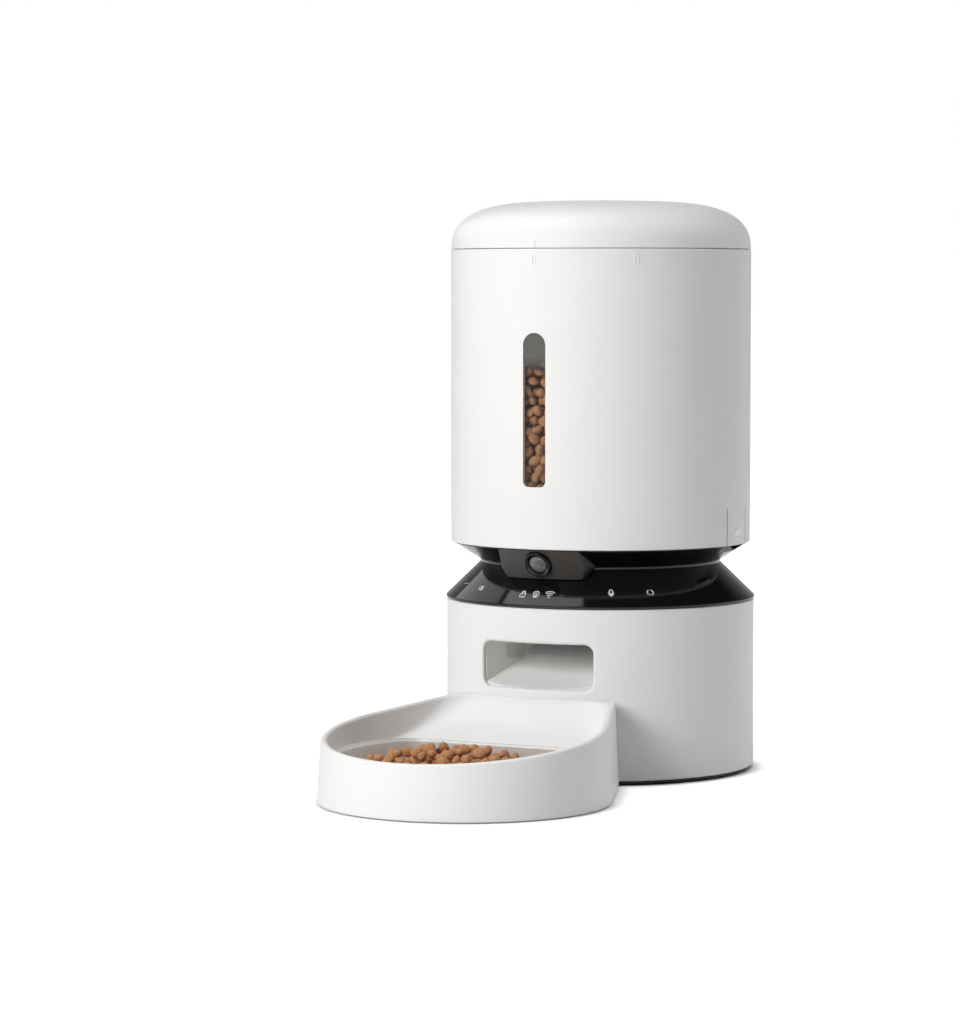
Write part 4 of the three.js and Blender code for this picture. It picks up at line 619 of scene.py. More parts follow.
def make_base():
    """The white base with its food mouth, sound slots, socket hole and the slots for the tray's hooks."""
    inner = BASE_RADIUS - BASE_WALL
    shell = lathe("base", rounded([
        (inner, BASE_BOTTOM), (BASE_RADIUS, BASE_BOTTOM, EDGE_ROUND),
        (BASE_RADIUS, BASE_TOP, EDGE_ROUND), (inner, BASE_TOP)]))
    tools = [mouth_cutter()]
    for i in range(SLOT_COUNT):
        off = i - (SLOT_COUNT - 1) / 2
        length = SLOT_LENGTH - abs(off) * SLOT_WIDTH
        tools.append(plate("slot", SLOT_WIDTH, length, 3 * BASE_WALL, SLOT_WIDTH / 2 - WELD,
                           place=Matrix.Translation((off * SLOT_PITCH, inner - BASE_WALL, SPEAKER_HEIGHT))))
    tools += [brick("hook_slot", (side * HOOK_PLACE - HOOK_WIDTH / 2, -BASE_RADIUS - OVER, HOOK_LOW),
                    (side * HOOK_PLACE + HOOK_WIDTH / 2, -BASE_RADIUS / 2, HOOK_HIGH)) for side in (-1, 1)]
    along_y = Matrix.Translation((0, 0, JACK_HEIGHT)) @ Matrix.Rotation(math.radians(-90), 4, "X")
    tools.append(rod("socket_hole", JACK_HOLE, BASE_RADIUS / 2, BASE_RADIUS + OVER, along_y))
    settled(carved(shell, *tools), "base", "white_shell", "base_shell")


def mouth_cutter():
    """A rounded opening wrapped round the front of the base, that flares at its outer edge."""
    middle = (MOUTH_HIGH + MOUTH_LOW) / 2
    half_height = (MOUTH_HIGH - MOUTH_LOW) / 2
    corners = [(-MOUTH_HALF, -half_height, MOUTH_CORNER), (MOUTH_HALF, -half_height, MOUTH_CORNER),
               (MOUTH_HALF, half_height, MOUTH_CORNER), (-MOUTH_HALF, half_height, MOUTH_CORNER)]
    outline = []
    sharp = rounded(corners, FINE_STEPS)
    for (x, z), (next_x, next_z) in zip(sharp, sharp[1:] + sharp[:1]):
        count = max(1, round(math.hypot(next_x - x, next_z - z) / MOUTH_STEP))
        outline += [(x + (next_x - x) * k / count, z + (next_z - z) * k / count) for k in range(count)]

    def ring(grow, radius, flat=None):
        """The opening's outline, grown by a length, on a round wall or at a flat depth."""
        points = []
        for x, z in outline:
            wide = x * (1 + grow / MOUTH_HALF)
            out = flat or math.sqrt(radius ** 2 - wide ** 2)
            points.append((wide, -out, middle + z * (1 + grow / half_height)))
        return points

    flare = leans(90, ARC_STEPS)
    return skin("mouth", [
        ring(0, 0, BASE_RADIUS / 2),
        *[ring(MOUTH_FLARE * (1 - math.cos(lean)), BASE_RADIUS - MOUTH_FLARE * (1 - math.sin(lean)))
          for lean in flare],
        ring(MOUTH_FLARE, 0, BASE_RADIUS + OVER),
    ])


def camera_block(grow, back):
    """The space of the camera housing, grown by a length: a sloping round face, flared sides, flat ends."""
    slope = math.tan(math.radians(CAM_TILT))
    low, high = CAM_LOW - grow, CAM_HIGH + grow

    def face(height):
        """The radius of the sloping face at a height."""
        return CAM_RADIUS + (height - CAM_HEIGHT) * slope + grow / math.cos(math.radians(CAM_TILT))

    def spread(y):
        """Half the width at a depth."""
        return CAM_HALF + grow + (y + CAM_RADIUS) * math.tan(math.radians(CAM_FLARE))

    cone = lathe("camera_face", [(back, low), (face(low), low), (face(high), high), (back, high)])
    near, far = -CAM_RADIUS - 2 * CAM_CORNER, -back + 2 * CAM_CORNER
    sides = brick("camera_sides", (-1, near, low - OVER), (1, far, high + OVER))
    for vert in sides.data.vertices:
        vert.co.x = math.copysign(spread(vert.co.y), vert.co.x)
    front = plate("camera_front", 2 * (CAM_HALF + grow), high - low + CAM_CORNER, far - near, 0, CAM_CORNER,
                  Matrix.Translation((0, near, (high + low + CAM_CORNER) / 2)), FINE_STEPS)
    for vert in front.data.vertices:
        vert.co.x *= 1 + max(0, vert.co.z - low - CAM_CORNER) / (high - low) * TOP_SPREAD
    return carved(cone, sides, front, operation="INTERSECT")


def make_control_ring():
    """The glossy sloping ring that carries the touch signs."""
    inner = RING_RADIUS - SHOULDER_WALL
    ring = lathe("control_ring", rounded([
        (SKIRT_IN, RING_LOW - SKIRT_DEPTH), (SKIRT_OUT, RING_LOW - SKIRT_DEPTH), (SKIRT_OUT, RING_LOW),
        (RING_RADIUS, RING_LOW, RING_EDGE), (RING_RADIUS, RING_SHOULDER, RING_ROUND),
        (WAIST, WAIST_LOW), (WAIST - RING_WALL, WAIST_LOW), (WAIST - RING_WALL, WAIST_LOW - WAIST_LIP),
        (inner - RING_WALL, RING_SHOULDER), (SKIRT_IN, RING_SHOULDER - RING_WALL)]))
    carved(ring, camera_block(CAM_ROOM, CAM_BACK - CAM_ROOM))
    settled(ring, "base", "gloss_black", "control_ring")


def make_collar():
    """The glossy collar that the tank stands on, with a finger notch under each release tab."""
    inner = SPIGOT - COLLAR_WALL
    collar = lathe("neck_collar", rounded([
        (DECK_HOLE, DECK_LOW), (WAIST - WAIST_WALL, DECK_LOW), (WAIST - WAIST_WALL, WAIST_HIGH),
        (WAIST, WAIST_HIGH), (WAIST, BAND_TOP, BAND_ROUND), (COLLAR_RIM, COLLAR_TOP, RIM_EDGE),
        (SPIGOT, COLLAR_TOP), (SPIGOT, SPIGOT_TOP), (inner, SPIGOT_TOP), (inner, COLLAR_TOP + CONE_RISE),
        (WAIST - CONE_WALL, DECK_TOP), (DECK_HOLE, DECK_TOP)]))
    outlet = brick("outlet", (-OUTLET_HALF, OUTLET_FRONT, DECK_LOW - OVER),
                   (OUTLET_HALF, OUTLET_REAR, DECK_TOP + OVER))
    lens_room = rod("lens_room", LENS_SEAT, LENS_ROOM_LOW, LENS_ROOM_HIGH, LENS_FRAME)
    notches = []
    for side in (-1, 1):
        notch = brick("notch", (NOTCH_FACE, -NOTCH_HALF, NOTCH_LOW),
                      (COLLAR_RIM + OVER, NOTCH_HALF, SPIGOT_TOP + OVER))
        taken(notch)
        bpy.ops.object.mode_set(mode="EDIT")
        pick(lambda co: co.z < NOTCH_LOW + WELD)
        select_edges_across(1)
        bpy.ops.mesh.bevel(offset=NOTCH_SLOPE, segments=1)
        bpy.ops.object.mode_set(mode="OBJECT")
        if side < 0:
            notch.data.transform(Matrix.Rotation(math.pi, 4, "Z"))
        notches.append(notch)
    carved(collar, outlet, camera_block(CAM_ROOM, CAM_BACK - CAM_ROOM), lens_room, *notches)
    settled(collar, "base", "gloss_black", "neck_collar")


def select_edges_across(axis):
    """Of the selected low edges, keeps those that run across the given axis."""
    piece = bpy.context.object
    edit = bmesh.from_edit_mesh(piece.data)
    chosen = [edge for edge in edit.edges if all(vert.select for vert in edge.verts)
              and abs((edge.verts[0].co - edge.verts[1].co)[axis]) < WELD]
    bpy.ops.mesh.select_all(action="DESELECT")
    bpy.ops.mesh.select_mode(type="EDGE")
    for edge in chosen:
        edge.select_set(True)
    bmesh.update_edit_mesh(piece.data)


def make_camera():
    """The camera housing, the ring round its lens and the lens."""
    housing = camera_block(0, CAM_BACK)
    housing.name = "camera_housing"
    softened(housing, CAM_ROUND, 3)
    carved(housing,
           rod("lens_bore", LENS_BORE, LENS_ROOM_LOW, BORE_HIGH, LENS_FRAME),
           rod("lens_seat", LENS_SEAT, LENS_SEAT_LOW, LENS_ROOM_HIGH, LENS_FRAME),
           rod("microphone", MIC_HOLE, MIC_LOW, BORE_HIGH,
               LENS_FRAME @ Matrix.Translation((0, MIC_PLACE, 0)), MIC_SIDES))
    settled(housing, "base", "gloss_black", "camera_housing", finish=SATIN_BLACK)
    ring = lathe("camera_bezel", rounded(BEZEL), SMALL_SIDES, LENS_FRAME)
    settled(ring, "base", "matt_black", "camera_bezel", finish=FINISHES["gloss_black"])
    glass = [(LENS_RADIUS * math.cos(math.radians(lean)), LENS_LOW + LENS_RISE * math.sin(math.radians(lean)))
             for lean in range(0, 90, 10)]
    lens = lathe("camera_lens", [(0, LENS_FOOT), (LENS_RADIUS, LENS_FOOT), *glass, (0, LENS_LOW + LENS_RISE)],
                 SMALL_SIDES, LENS_FRAME)
    settled(lens, "base", "lens_glass", "camera_lens", smooth=60)


def window_cutter(grow, near, far):
    """A bar through the tank wall with the window's outline."""
    height = WINDOW_HIGH - WINDOW_LOW + 2 * grow
    return plate("window_bar", 2 * (WINDOW_HALF + grow), height, far - near, WINDOW_HALF + grow - WELD,
                 WINDOW_CORNER + grow, Matrix.Translation((0, near, (WINDOW_HIGH + WINDOW_LOW) / 2)),
                 WINDOW_STEPS)


def tab_block(side, grow, top):
    """The stretch of the tank's foot that a release tab takes up."""
    ends = sorted((side * TANK_RADIUS / 2, side * (TANK_RADIUS + OVER)))
    return brick("tab_block", (ends[0], -TAB_HALF - grow, TANK_LOW - OVER), (ends[1], TAB_HALF + grow, top))


def turn_mark(angle):
    """A thin raised outline on the tank that marks one end of the lid's turn."""
    middle, line = TANK_TOP - TURN_MARK_DROP, TURN_MARK_LINE
    before_wall = turned(angle, Matrix.Translation((0, -TANK_RADIUS - OVER, middle)))
    further_out = turned(angle, Matrix.Translation((0, -TANK_RADIUS - 2 * OVER, middle)))
    outer = plate("turn_mark", TURN_MARK_WIDTH, TURN_MARK_HEIGHT, 3, TURN_MARK_WIDTH / 2 - WELD,
                  place=before_wall, steps=FINE_STEPS)
    inner = plate("mark_hollow", TURN_MARK_WIDTH - 2 * line, TURN_MARK_HEIGHT - 2 * line, 5,
                  TURN_MARK_WIDTH / 2 - line - WELD, place=further_out, steps=FINE_STEPS)
    band = mark_band(middle - TURN_BAND_REACH, TANK_TOP - TURN_BAND_DROP, TURN_MARK_RISE)
    return carved(carved(outer, inner), band, operation="INTERSECT")


def mark_band(low, high, rise):
    """A thin band in and round the tank's wall that cuts a raised mark to its height."""
    return lathe("mark_band", [(TANK_RADIUS - MARK_ROOT, low), (TANK_RADIUS + rise, low),
                               (TANK_RADIUS + rise, high), (TANK_RADIUS - MARK_ROOT, high)])


def make_tank():
    """The food tank with its window, release tabs and turn marks."""
    inner = TANK_RADIUS - TANK_WALL
    ledge = LEDGE_HEIGHT + LEDGE_THICK
    shell = lathe("tank", rounded([
        (TANK_FOOT, TANK_LOW), (TANK_RADIUS, TANK_LOW, FOOT_ROUND), (TANK_RADIUS, TANK_TOP, RIM_ROUND),
        (inner, TANK_TOP), (inner, ledge), (inner - LEDGE_REACH, ledge), (inner - LEDGE_REACH, LEDGE_HEIGHT),
        (inner, LEDGE_HEIGHT - LEDGE_REACH), (inner, TANK_LOW + FOOT_ROUND)]))
    carved(shell, turn_mark(0), turn_mark(LOCK_TURN), operation="UNION")
    carved(shell, window_cutter(0, -TANK_RADIUS - OVER, -inner / 2),
           *[tab_block(side, TAB_SLIT, TAB_TOP + TAB_ROOM) for side in (-1, 1)])
    settled(shell, "tank", "white_shell", "tank_shell")

    pane_in, pane_out = inner - PANE_REACH, TANK_RADIUS - PANE_SUNK
    pane_low, pane_high = WINDOW_LOW - PANE_SPARE, WINDOW_HIGH + PANE_SPARE
    pane = lathe("tank_window", [
        (pane_in, pane_low), (pane_out, pane_low), (pane_out, pane_high), (pane_in, pane_high)])
    carved(pane, window_cutter(-PANE_GAP, -TANK_RADIUS - OVER, -inner / 2), operation="INTERSECT")
    settled(pane, "tank", "smoke_window", "tank_window", finish=PANE)

    for side, name in ((-1, "release_tab_left"), (1, "release_tab_right")):
        tab = lathe(name, rounded([
            (TANK_FOOT, TANK_LOW), (TANK_RADIUS, TANK_LOW, FOOT_ROUND), (TANK_RADIUS, TAB_TOP),
            (inner, TAB_TOP - TAB_SLOPE), (inner, TANK_LOW + FOOT_ROUND)]))
        carved(tab, tab_block(side, 0, TAB_TOP + OVER), operation="INTERSECT")
        body = name.replace("release_", "")
        settled(tab, body, "white_shell", name)
        for mark in tab_marks(side):
            # Painted highlight: each mark gets the paler finish
            settled(mark, body, None, finish=PAINTED_LIT_MARK)


def tab_marks(side):
    """The raised arrow and bar on a release tab, each a piece of its own."""
    marks = []
    for low, high, tip in TAB_MARKS:
        mark = brick("tab_mark", (TANK_RADIUS - MARK_DEPTH, -MARK_HALF, low),
                     (TANK_RADIUS + MARK_DEPTH, MARK_HALF, high))
        if tip:
            taken(mark)
            bpy.ops.object.mode_set(mode="EDIT")
            pick(lambda co: co.z > high - WELD)
            bpy.ops.transform.resize(value=(1, TIP_SHARE, 1), center_override=(0, 0, high))
            bpy.ops.object.mode_set(mode="OBJECT")
        carved(mark, mark_band(MARKS_LOW, MARKS_HIGH, TAB_MARK_RISE), operation="INTERSECT")
        if side < 0:
            mark.data.transform(Matrix.Rotation(math.pi, 4, "Z"))
        marks.append(mark)
    return marks


def dome(inset, count):
    """The outside of the lid from its foot to its crown, drawn in by inset."""
    points = []
    for k in range(count + 1):
        lean = math.radians(90 * k / count)
        points.append(((LID_RADIUS - inset) * max(0, math.cos(lean)) ** (2 / SHOULDER_SHARE),
                       LID_LOW + (LID_HEIGHT - inset) * math.sin(lean) ** (2 / CROWN_SHARE)))
    points[-1] = (0, points[-1][1])
    return points


def make_lid():
    """The domed lid with its short mark at the front."""
    cover = lathe("lid", dome(0, DOME_STEPS)[::-1] + dome(LID_WALL, DOME_STEPS // 2))
    mark = brick("lid_mark", (-LID_MARK_HALF, -LID_RADIUS - TURN_MARK_RISE, LID_LOW + LID_MARK_LOW),
                 (LID_MARK_HALF, -LID_RADIUS + OVER, LID_LOW + LID_MARK_HIGH))
    carved(cover, mark, operation="UNION")
    settled(cover, "lid", "white_shell", "lid_cover", even=False)


# The tray and the bowl, with outlines seen from above that start at the middle of the front
TRAY_RADIUS, TRAY_CENTRE, TRAY_TURN, TRAY_CORNER, TRAY_REAR = 85.5, 181.2, math.radians(112), 10, 95.6
TRAY_FRONT_RIM, TRAY_REAR_RIM, TRAY_WALL, TRAY_TAPER = 31.8, 51.7, 2.6, 2.2
LIP_WIDTH, LIP_ROUND, INNER_CORNER = 4, 1.6, 24
BOWL_SEAT, BOWL_STEP, BOWL_INSET, BOWL_REAR, BOWL_CORNER = 27, 1.6, 7.6, 131, 22
STEP_IN, STEP_DOWN = 0.3, 0.5
BOWL_STEEL, BOWL_GAP, BOWL_WALL, BOWL_DEEP, BOWL_BEND = 0.8, 0.3, 12, 7, 1.2
BOWL_EDGE, ROLL_HALF, ROLL_RISE = 8.6, 0.8, 0.9
WELL_INSET, WELL_ROUND, FLOOR_UNDER, FLOOR_TOP = 11.4, 4, 2.2, 4.4
STAND, FOOT_INSET, FOOT_RISE, UNDER_RIM = 0.8, 0.6, 2.2, 3.8
HOOK_HALF, HOOK_REACH, HOOK_FOOT, HOOK_THICK, HOOK_ROUND = 6, 14, 13, 3, 0.5
APRON_SHARES = [(0.0, 0.0), (0.05, 0.12), (0.15, 0.26), (0.3, 0.45),
                (0.45, 0.62), (0.62, 0.77), (0.8, 0.9), (1.0, 1.0)]
FRONT_STEPS, SIDE_STEPS, CORNER_STEPS, REAR_STEPS, APRON_STEPS = 56, 8, 16, 24, 14


def arc(centre, radius, start, end, shares):
    """Points of an arc at shares of its length, its angles taken from the front."""
    return [(centre[0] + radius * math.sin(start + (end - start) * share),
             centre[1] - radius * math.cos(start + (end - start) * share)) for share in shares]


def plan(inset, corner, centre_y, corner_end, rear):
    """The round front, straight sides and corner arcs that all the outlines share, with their own rear."""
    radius = TRAY_RADIUS - inset
    centre_x = (radius - corner + (centre_y + TRAY_CENTRE) * math.cos(TRAY_TURN)) / math.sin(TRAY_TURN)
    centre = (centre_x, centre_y)
    front = arc((0, -TRAY_CENTRE), radius, 0, TRAY_TURN, evenly(FRONT_STEPS))
    bend = arc(centre, corner, TRAY_TURN, corner_end(centre), evenly(CORNER_STEPS))
    side = [tuple(a + (b - a) * k / SIDE_STEPS for a, b in zip(front[-1], bend[0]))
            for k in range(1, SIDE_STEPS)]
    half = front + side + bend + rear(bend[-1])
    return half + [(-x, y) for x, y in half[-2:0:-1]]


def tray_outline(inset, taper=0, corner=None):
    """The tray's outline, drawn in by inset, and by taper too except where it wraps round the base."""
    corner = TRAY_CORNER - inset if corner is None else corner
    across = TRAY_RADIUS - taper - inset - corner
    start = Vector((across * math.sin(TRAY_TURN), -TRAY_CENTRE - across * math.cos(TRAY_TURN)))
    along = Vector((math.cos(TRAY_TURN), math.sin(TRAY_TURN)))
    reach = TRAY_REAR + inset + corner
    over = start.dot(along)
    centre_y = start.y + (-over - math.sqrt(over ** 2 - start.length_squared + reach ** 2)) * along.y
    return plan(inset + taper, corner, centre_y,
                lambda centre: math.atan2(-centre[0], centre[1]) + 2 * math.pi,
                lambda end: arc((0, 0), TRAY_REAR + inset, math.atan2(end[0], -end[1]), 0,
                                evenly(REAR_STEPS)[1:]))


def bowl_outline(inset):
    """The outline of the bowl and of its seat, with a straight rear edge, drawn in by inset."""
    corner = BOWL_CORNER - (inset - BOWL_INSET) / 2
    rear = -BOWL_REAR - (inset - BOWL_INSET)
    return plan(inset, corner, rear - corner, lambda centre: math.pi,
                lambda end: [(end[0] * (1 - k / REAR_STEPS), rear) for k in range(1, REAR_STEPS + 1)])


def level(outline, height):
    """An outline at one height."""
    return [Vector((x, y, height)) for x, y in outline]


def rim_height(y):
    """The height of the tray's rim, which rises evenly to the rear."""
    front = -TRAY_CENTRE - TRAY_RADIUS
    return TRAY_FRONT_RIM + (TRAY_REAR_RIM - TRAY_FRONT_RIM) * min(1, (y - front) / (-TRAY_REAR - front))


def at_rim(outline, drop):
    """An outline that follows the rim, a length below it."""
    return [Vector((x, y, rim_height(y) - drop)) for x, y in outline]


def apron(high, low, shares):
    """The rings between two outlines, at shares of the way across and down."""
    return [[Vector((a.x + (b.x - a.x) * across, a.y + (b.y - a.y) * across, a.z + (b.z - a.z) * down))
             for a, b in zip(high, low)] for across, down in shares]


def smoothed(shares, count):
    """Draws a list of (across, down) shares through by straight lines to a finer, softened list."""
    fine = []
    for k in range(count + 1):
        place = k / count * (len(shares) - 1)
        first = min(int(place), len(shares) - 2)
        part = place - first
        fine.append(tuple(a + (b - a) * part for a, b in zip(shares[first], shares[first + 1])))
    for _ in range(2):
        fine = [fine[0]] + [tuple((a + 2 * b + c) / 4 for a, b, c in zip(*three))
                            for three in zip(fine, fine[1:], fine[2:])] + [fine[-1]]
    return fine


def make_tray():
    """The feeding tray: a rounded lip that rises to the rear, a smooth apron and a seat for the bowl."""
    lip = leans(90, 4)
    lip_low = at_rim(tray_outline(LIP_WIDTH, TRAY_TAPER, INNER_CORNER), LIP_ROUND)
    step_top = level(bowl_outline(BOWL_INSET), BOWL_SEAT + BOWL_STEP)
    under_top = at_rim(tray_outline(TRAY_WALL, TRAY_TAPER), UNDER_RIM)
    under_low = level(bowl_outline(BOWL_INSET - TRAY_WALL), BOWL_SEAT - TRAY_WALL)
    soft = smoothed(APRON_SHARES, APRON_STEPS)
    tray = skin("feeding_tray", [
        level(bowl_outline(WELL_INSET - TRAY_WALL + WELL_ROUND), FLOOR_UNDER),
        level(bowl_outline(WELL_INSET - TRAY_WALL), FLOOR_UNDER + WELL_ROUND),
        level(bowl_outline(WELL_INSET - TRAY_WALL), BOWL_SEAT - TRAY_WALL),
        *apron(under_top, under_low, soft)[::-1],
        level(tray_outline(TRAY_WALL + FOOT_INSET), STAND),
        level(tray_outline(FOOT_INSET), STAND),
        level(tray_outline(0), STAND + FOOT_RISE),
        *[at_rim(tray_outline(LIP_ROUND * (1 - math.cos(lean)), TRAY_TAPER), LIP_ROUND * (1 - math.sin(lean)))
          for lean in lip],
        *[at_rim(tray_outline(LIP_WIDTH - LIP_ROUND * (1 - math.cos(lean)), TRAY_TAPER,
                              INNER_CORNER + LIP_ROUND * (1 - math.cos(lean))),
                 LIP_ROUND * (1 - math.sin(lean))) for lean in reversed(lip)],
        *apron(lip_low, step_top, soft)[1:],
        level(bowl_outline(BOWL_INSET + STEP_IN), BOWL_SEAT + BOWL_STEP - STEP_DOWN),
        level(bowl_outline(BOWL_INSET + STEP_IN), BOWL_SEAT),
        level(bowl_outline(WELL_INSET), BOWL_SEAT),
        level(bowl_outline(WELL_INSET), FLOOR_TOP + WELL_ROUND),
        level(bowl_outline(WELL_INSET + WELL_ROUND), FLOOR_TOP),
    ])
    wall_y = -math.sqrt(TRAY_REAR ** 2 - HOOK_PLACE ** 2)
    hooks = [softened(brick("hook", (side * HOOK_PLACE - HOOK_HALF, wall_y - TRAY_WALL, HOOK_FOOT),
                            (side * HOOK_PLACE + HOOK_HALF, wall_y + HOOK_REACH, HOOK_FOOT + HOOK_THICK)),
                      HOOK_ROUND) for side in (-1, 1)]
    carved(tray, *hooks, operation="UNION")
    settled(tray, "tray", "white_shell", "tray", even=False)


def make_bowl():
    """The drawn steel bowl with its flat rim, rolled edge and rounded floor."""
    steel, wall, deep = BOWL_STEEL, BOWL_WALL, BOWL_DEEP
    low, seat = FLOOR_TOP + BOWL_GAP, BOWL_SEAT + BOWL_GAP
    inner = wall + steel
    turn, bend, rolled = leans(90, 6), leans(90, 3), leans(180, 6)
    bowl = skin("bowl", [
        *[level(bowl_outline(wall + deep * (1 - math.sin(lean))), low + deep * (1 - math.cos(lean)))
          for lean in turn],
        level(bowl_outline(wall), seat),
        level(bowl_outline(BOWL_EDGE), seat),
        *[level(bowl_outline(BOWL_EDGE + ROLL_HALF * (1 - math.cos(lean))),
                seat + steel + ROLL_RISE * math.sin(lean)) for lean in rolled],
        level(bowl_outline(inner - BOWL_BEND), seat + steel),
        *[level(bowl_outline(inner - BOWL_BEND * (1 - math.sin(lean))),
                seat + steel - BOWL_BEND * (1 - math.cos(lean))) for lean in bend[1:]],
        *[level(bowl_outline(inner + deep * (1 - math.sin(lean))), low + steel + deep * (1 - math.cos(lean)))
          for lean in reversed(turn)],
    ])
    settled(bowl, "bowl", "bowl_steel", "steel_bowl")


# Dry food
NUGGET, NUGGET_SHARES, NUGGET_SIZES = 4.6, (1, 0.92, 0.62), (0.72, 1.04)
STRETCHES = ((0.8, 1.15), (0.85, 1.1), (0.85, 1.3))
ROUGHNESS, DENTS, DENT_DEPTH, NEST_SHARE = 0.05, 4, 0.24, 0.8
PLACE_SEED, BOWL_SEED, WINDOW_SEED = 7, 11, 12
HEAP_X, HEAP_Y, HEAP_RADIUS, HEAP_FLOOR, HEAP_TOP, HEAP_FALL = -6, -196, 54, 10.5, 32.5, 10
HEAP_SPOTS, HEAP_TRIES, HEAP_REACH, HEAP_ROOM = 520, 10, 8.6, 20
FOOD_ROOM = 4.4
FOOD_INSET = BOWL_WALL + BOWL_STEEL + FOOD_ROOM
LAYERS, ROWS, COLUMNS, NUGGET_PITCH, ROW_PITCH = (84.9, 80.2, 75), 14, range(-4, 3), 7.4, 5.7
FILL_LOW, FILL_TOP, SCATTER_X, SCATTER_Z = 177, 250, 1.3, 1.2
SCATTER_TOP, SCATTER_DEPTH, FILL_TILT = 1, (-1, 0.4), 1.2


def nugget_shape():
    """One piece of food: a flattened lump."""
    begin(bpy.ops.mesh.primitive_ico_sphere_add, subdivisions=2, radius=NUGGET)
    bpy.ops.transform.resize(value=NUGGET_SHARES, center_override=(0, 0, 0))
    return ended("nugget")


def packed(spots, tries, draw, room, reach):
    """Lets pieces fall one by one, each into the lowest of a few places, while the heap is below its top."""
    resting = []
    for _ in range(spots):
        best = None
        for _ in range(tries):
            x, y = draw()
            z, top = room(x, y)
            for px, py, pz in resting:
                gap = (px - x) ** 2 + (py - y) ** 2
                if gap < reach ** 2:
                    z = max(z, pz + NEST_SHARE * math.sqrt(reach ** 2 - gap))
            if top - z > 0 and (best is None or z < best[2]):
                best = (x, y, z)
        if best:
            resting.append(best)
    return resting


def strewn(name, places, seed, body, tilt=0.5):
    """Copies the nugget to each place with its own turn and size, and joins the heap to one piece."""
    chance = random.Random(seed)
    form = nugget_shape()
    verts, faces = [], []
    corners = [vert.co.copy() for vert in form.data.vertices]
    sides = [tuple(face.vertices) for face in form.data.polygons]
    bpy.data.objects.remove(form)
    for x, y, z in places:
        turn = (Matrix.Rotation(chance.uniform(0, 2 * math.pi), 3, "Z")
                @ Matrix.Rotation(chance.gauss(0, tilt), 3, "X")
                @ Matrix.Rotation(chance.gauss(0, tilt), 3, "Y"))
        size = chance.uniform(*NUGGET_SIZES)
        stretch = Vector([chance.uniform(*span) for span in STRETCHES])
        dents = [Vector(chance.gauss(0, 1) for _ in range(3)).normalized() for _ in range(DENTS)]
        start = len(verts)
        for corner in corners:
            dented = sum(max(0, corner.normalized().dot(dent)) ** 4 for dent in dents)
            push = chance.uniform(1 - ROUGHNESS, 1 + ROUGHNESS) - DENT_DEPTH * dented
            point = Vector(a * b for a, b in zip(corner, stretch)) * size * push
            verts.append(turn @ point + Vector((x, y, z)))
        faces += [tuple(start + i for i in side) for side in sides]
    mesh = bpy.data.meshes.new(name)
    mesh.from_pydata(verts, [], faces)
    heap = bpy.data.objects.new(name, mesh)
    bpy.context.scene.collection.objects.link(heap)
    settled(heap, body, None, finish=FOOD, smooth=80, even=False)


def make_food():
    """The food in the bowl, and the food in the tank up to the height seen in the window."""
    chance = random.Random(PLACE_SEED)
    inside = bowl_outline(FOOD_INSET)
    low_x, high_x = min(x for x, _ in inside), max(x for x, _ in inside)
    low_y, high_y = min(y for _, y in inside), max(y for _, y in inside)

    def in_bowl():
        """A place in the round part of the bowl that the heap covers."""
        while True:
            x, y = chance.uniform(low_x, high_x), chance.uniform(low_y, high_y)
            in_heap = math.hypot(x - HEAP_X, y - HEAP_Y) < HEAP_RADIUS
            if in_heap and math.hypot(x, y + TRAY_CENTRE) < TRAY_RADIUS - HEAP_ROOM:
                return x, y

    def heap(x, y):
        """The floor under a place, and the height that the heap reaches there."""
        away = math.hypot(x - HEAP_X, y - HEAP_Y) / HEAP_RADIUS
        return HEAP_FLOOR, HEAP_TOP - HEAP_FALL * away ** 2

    strewn("food_in_bowl", packed(HEAP_SPOTS, HEAP_TRIES, in_bowl, heap, HEAP_REACH), BOWL_SEED, "bowl")

    at_window = []
    for layer, depth in enumerate(LAYERS):
        for row in range(ROWS):
            for column in COLUMNS:
                stagger = (row + layer) % 2 / 2
                across = (column + stagger) * NUGGET_PITCH + chance.uniform(-SCATTER_X, SCATTER_X)
                height = FILL_LOW + ROW_PITCH * row + chance.uniform(-SCATTER_Z, SCATTER_Z)
                if height < FILL_TOP + chance.uniform(-SCATTER_TOP, SCATTER_TOP):
                    reach = depth + chance.uniform(*SCATTER_DEPTH)
                    turn = across / depth
                    at_window.append((reach * math.sin(turn), -reach * math.cos(turn), height))
    strewn("food_at_window", at_window, WINDOW_SEED, "tank", FILL_TILT)


# Signs on the sloping ring: lines in millimetres, across and up the slope, about the sign's middle
def bow(x, y, radius, start, end, count=12, high=1.0):
    """Points of an arc, in degrees from straight up, clockwise."""
    turns = [math.radians(start + (end - start) * k / count) for k in range(count + 1)]
    return [(x + radius * math.sin(turn), y + radius * high * math.cos(turn)) for turn in turns]


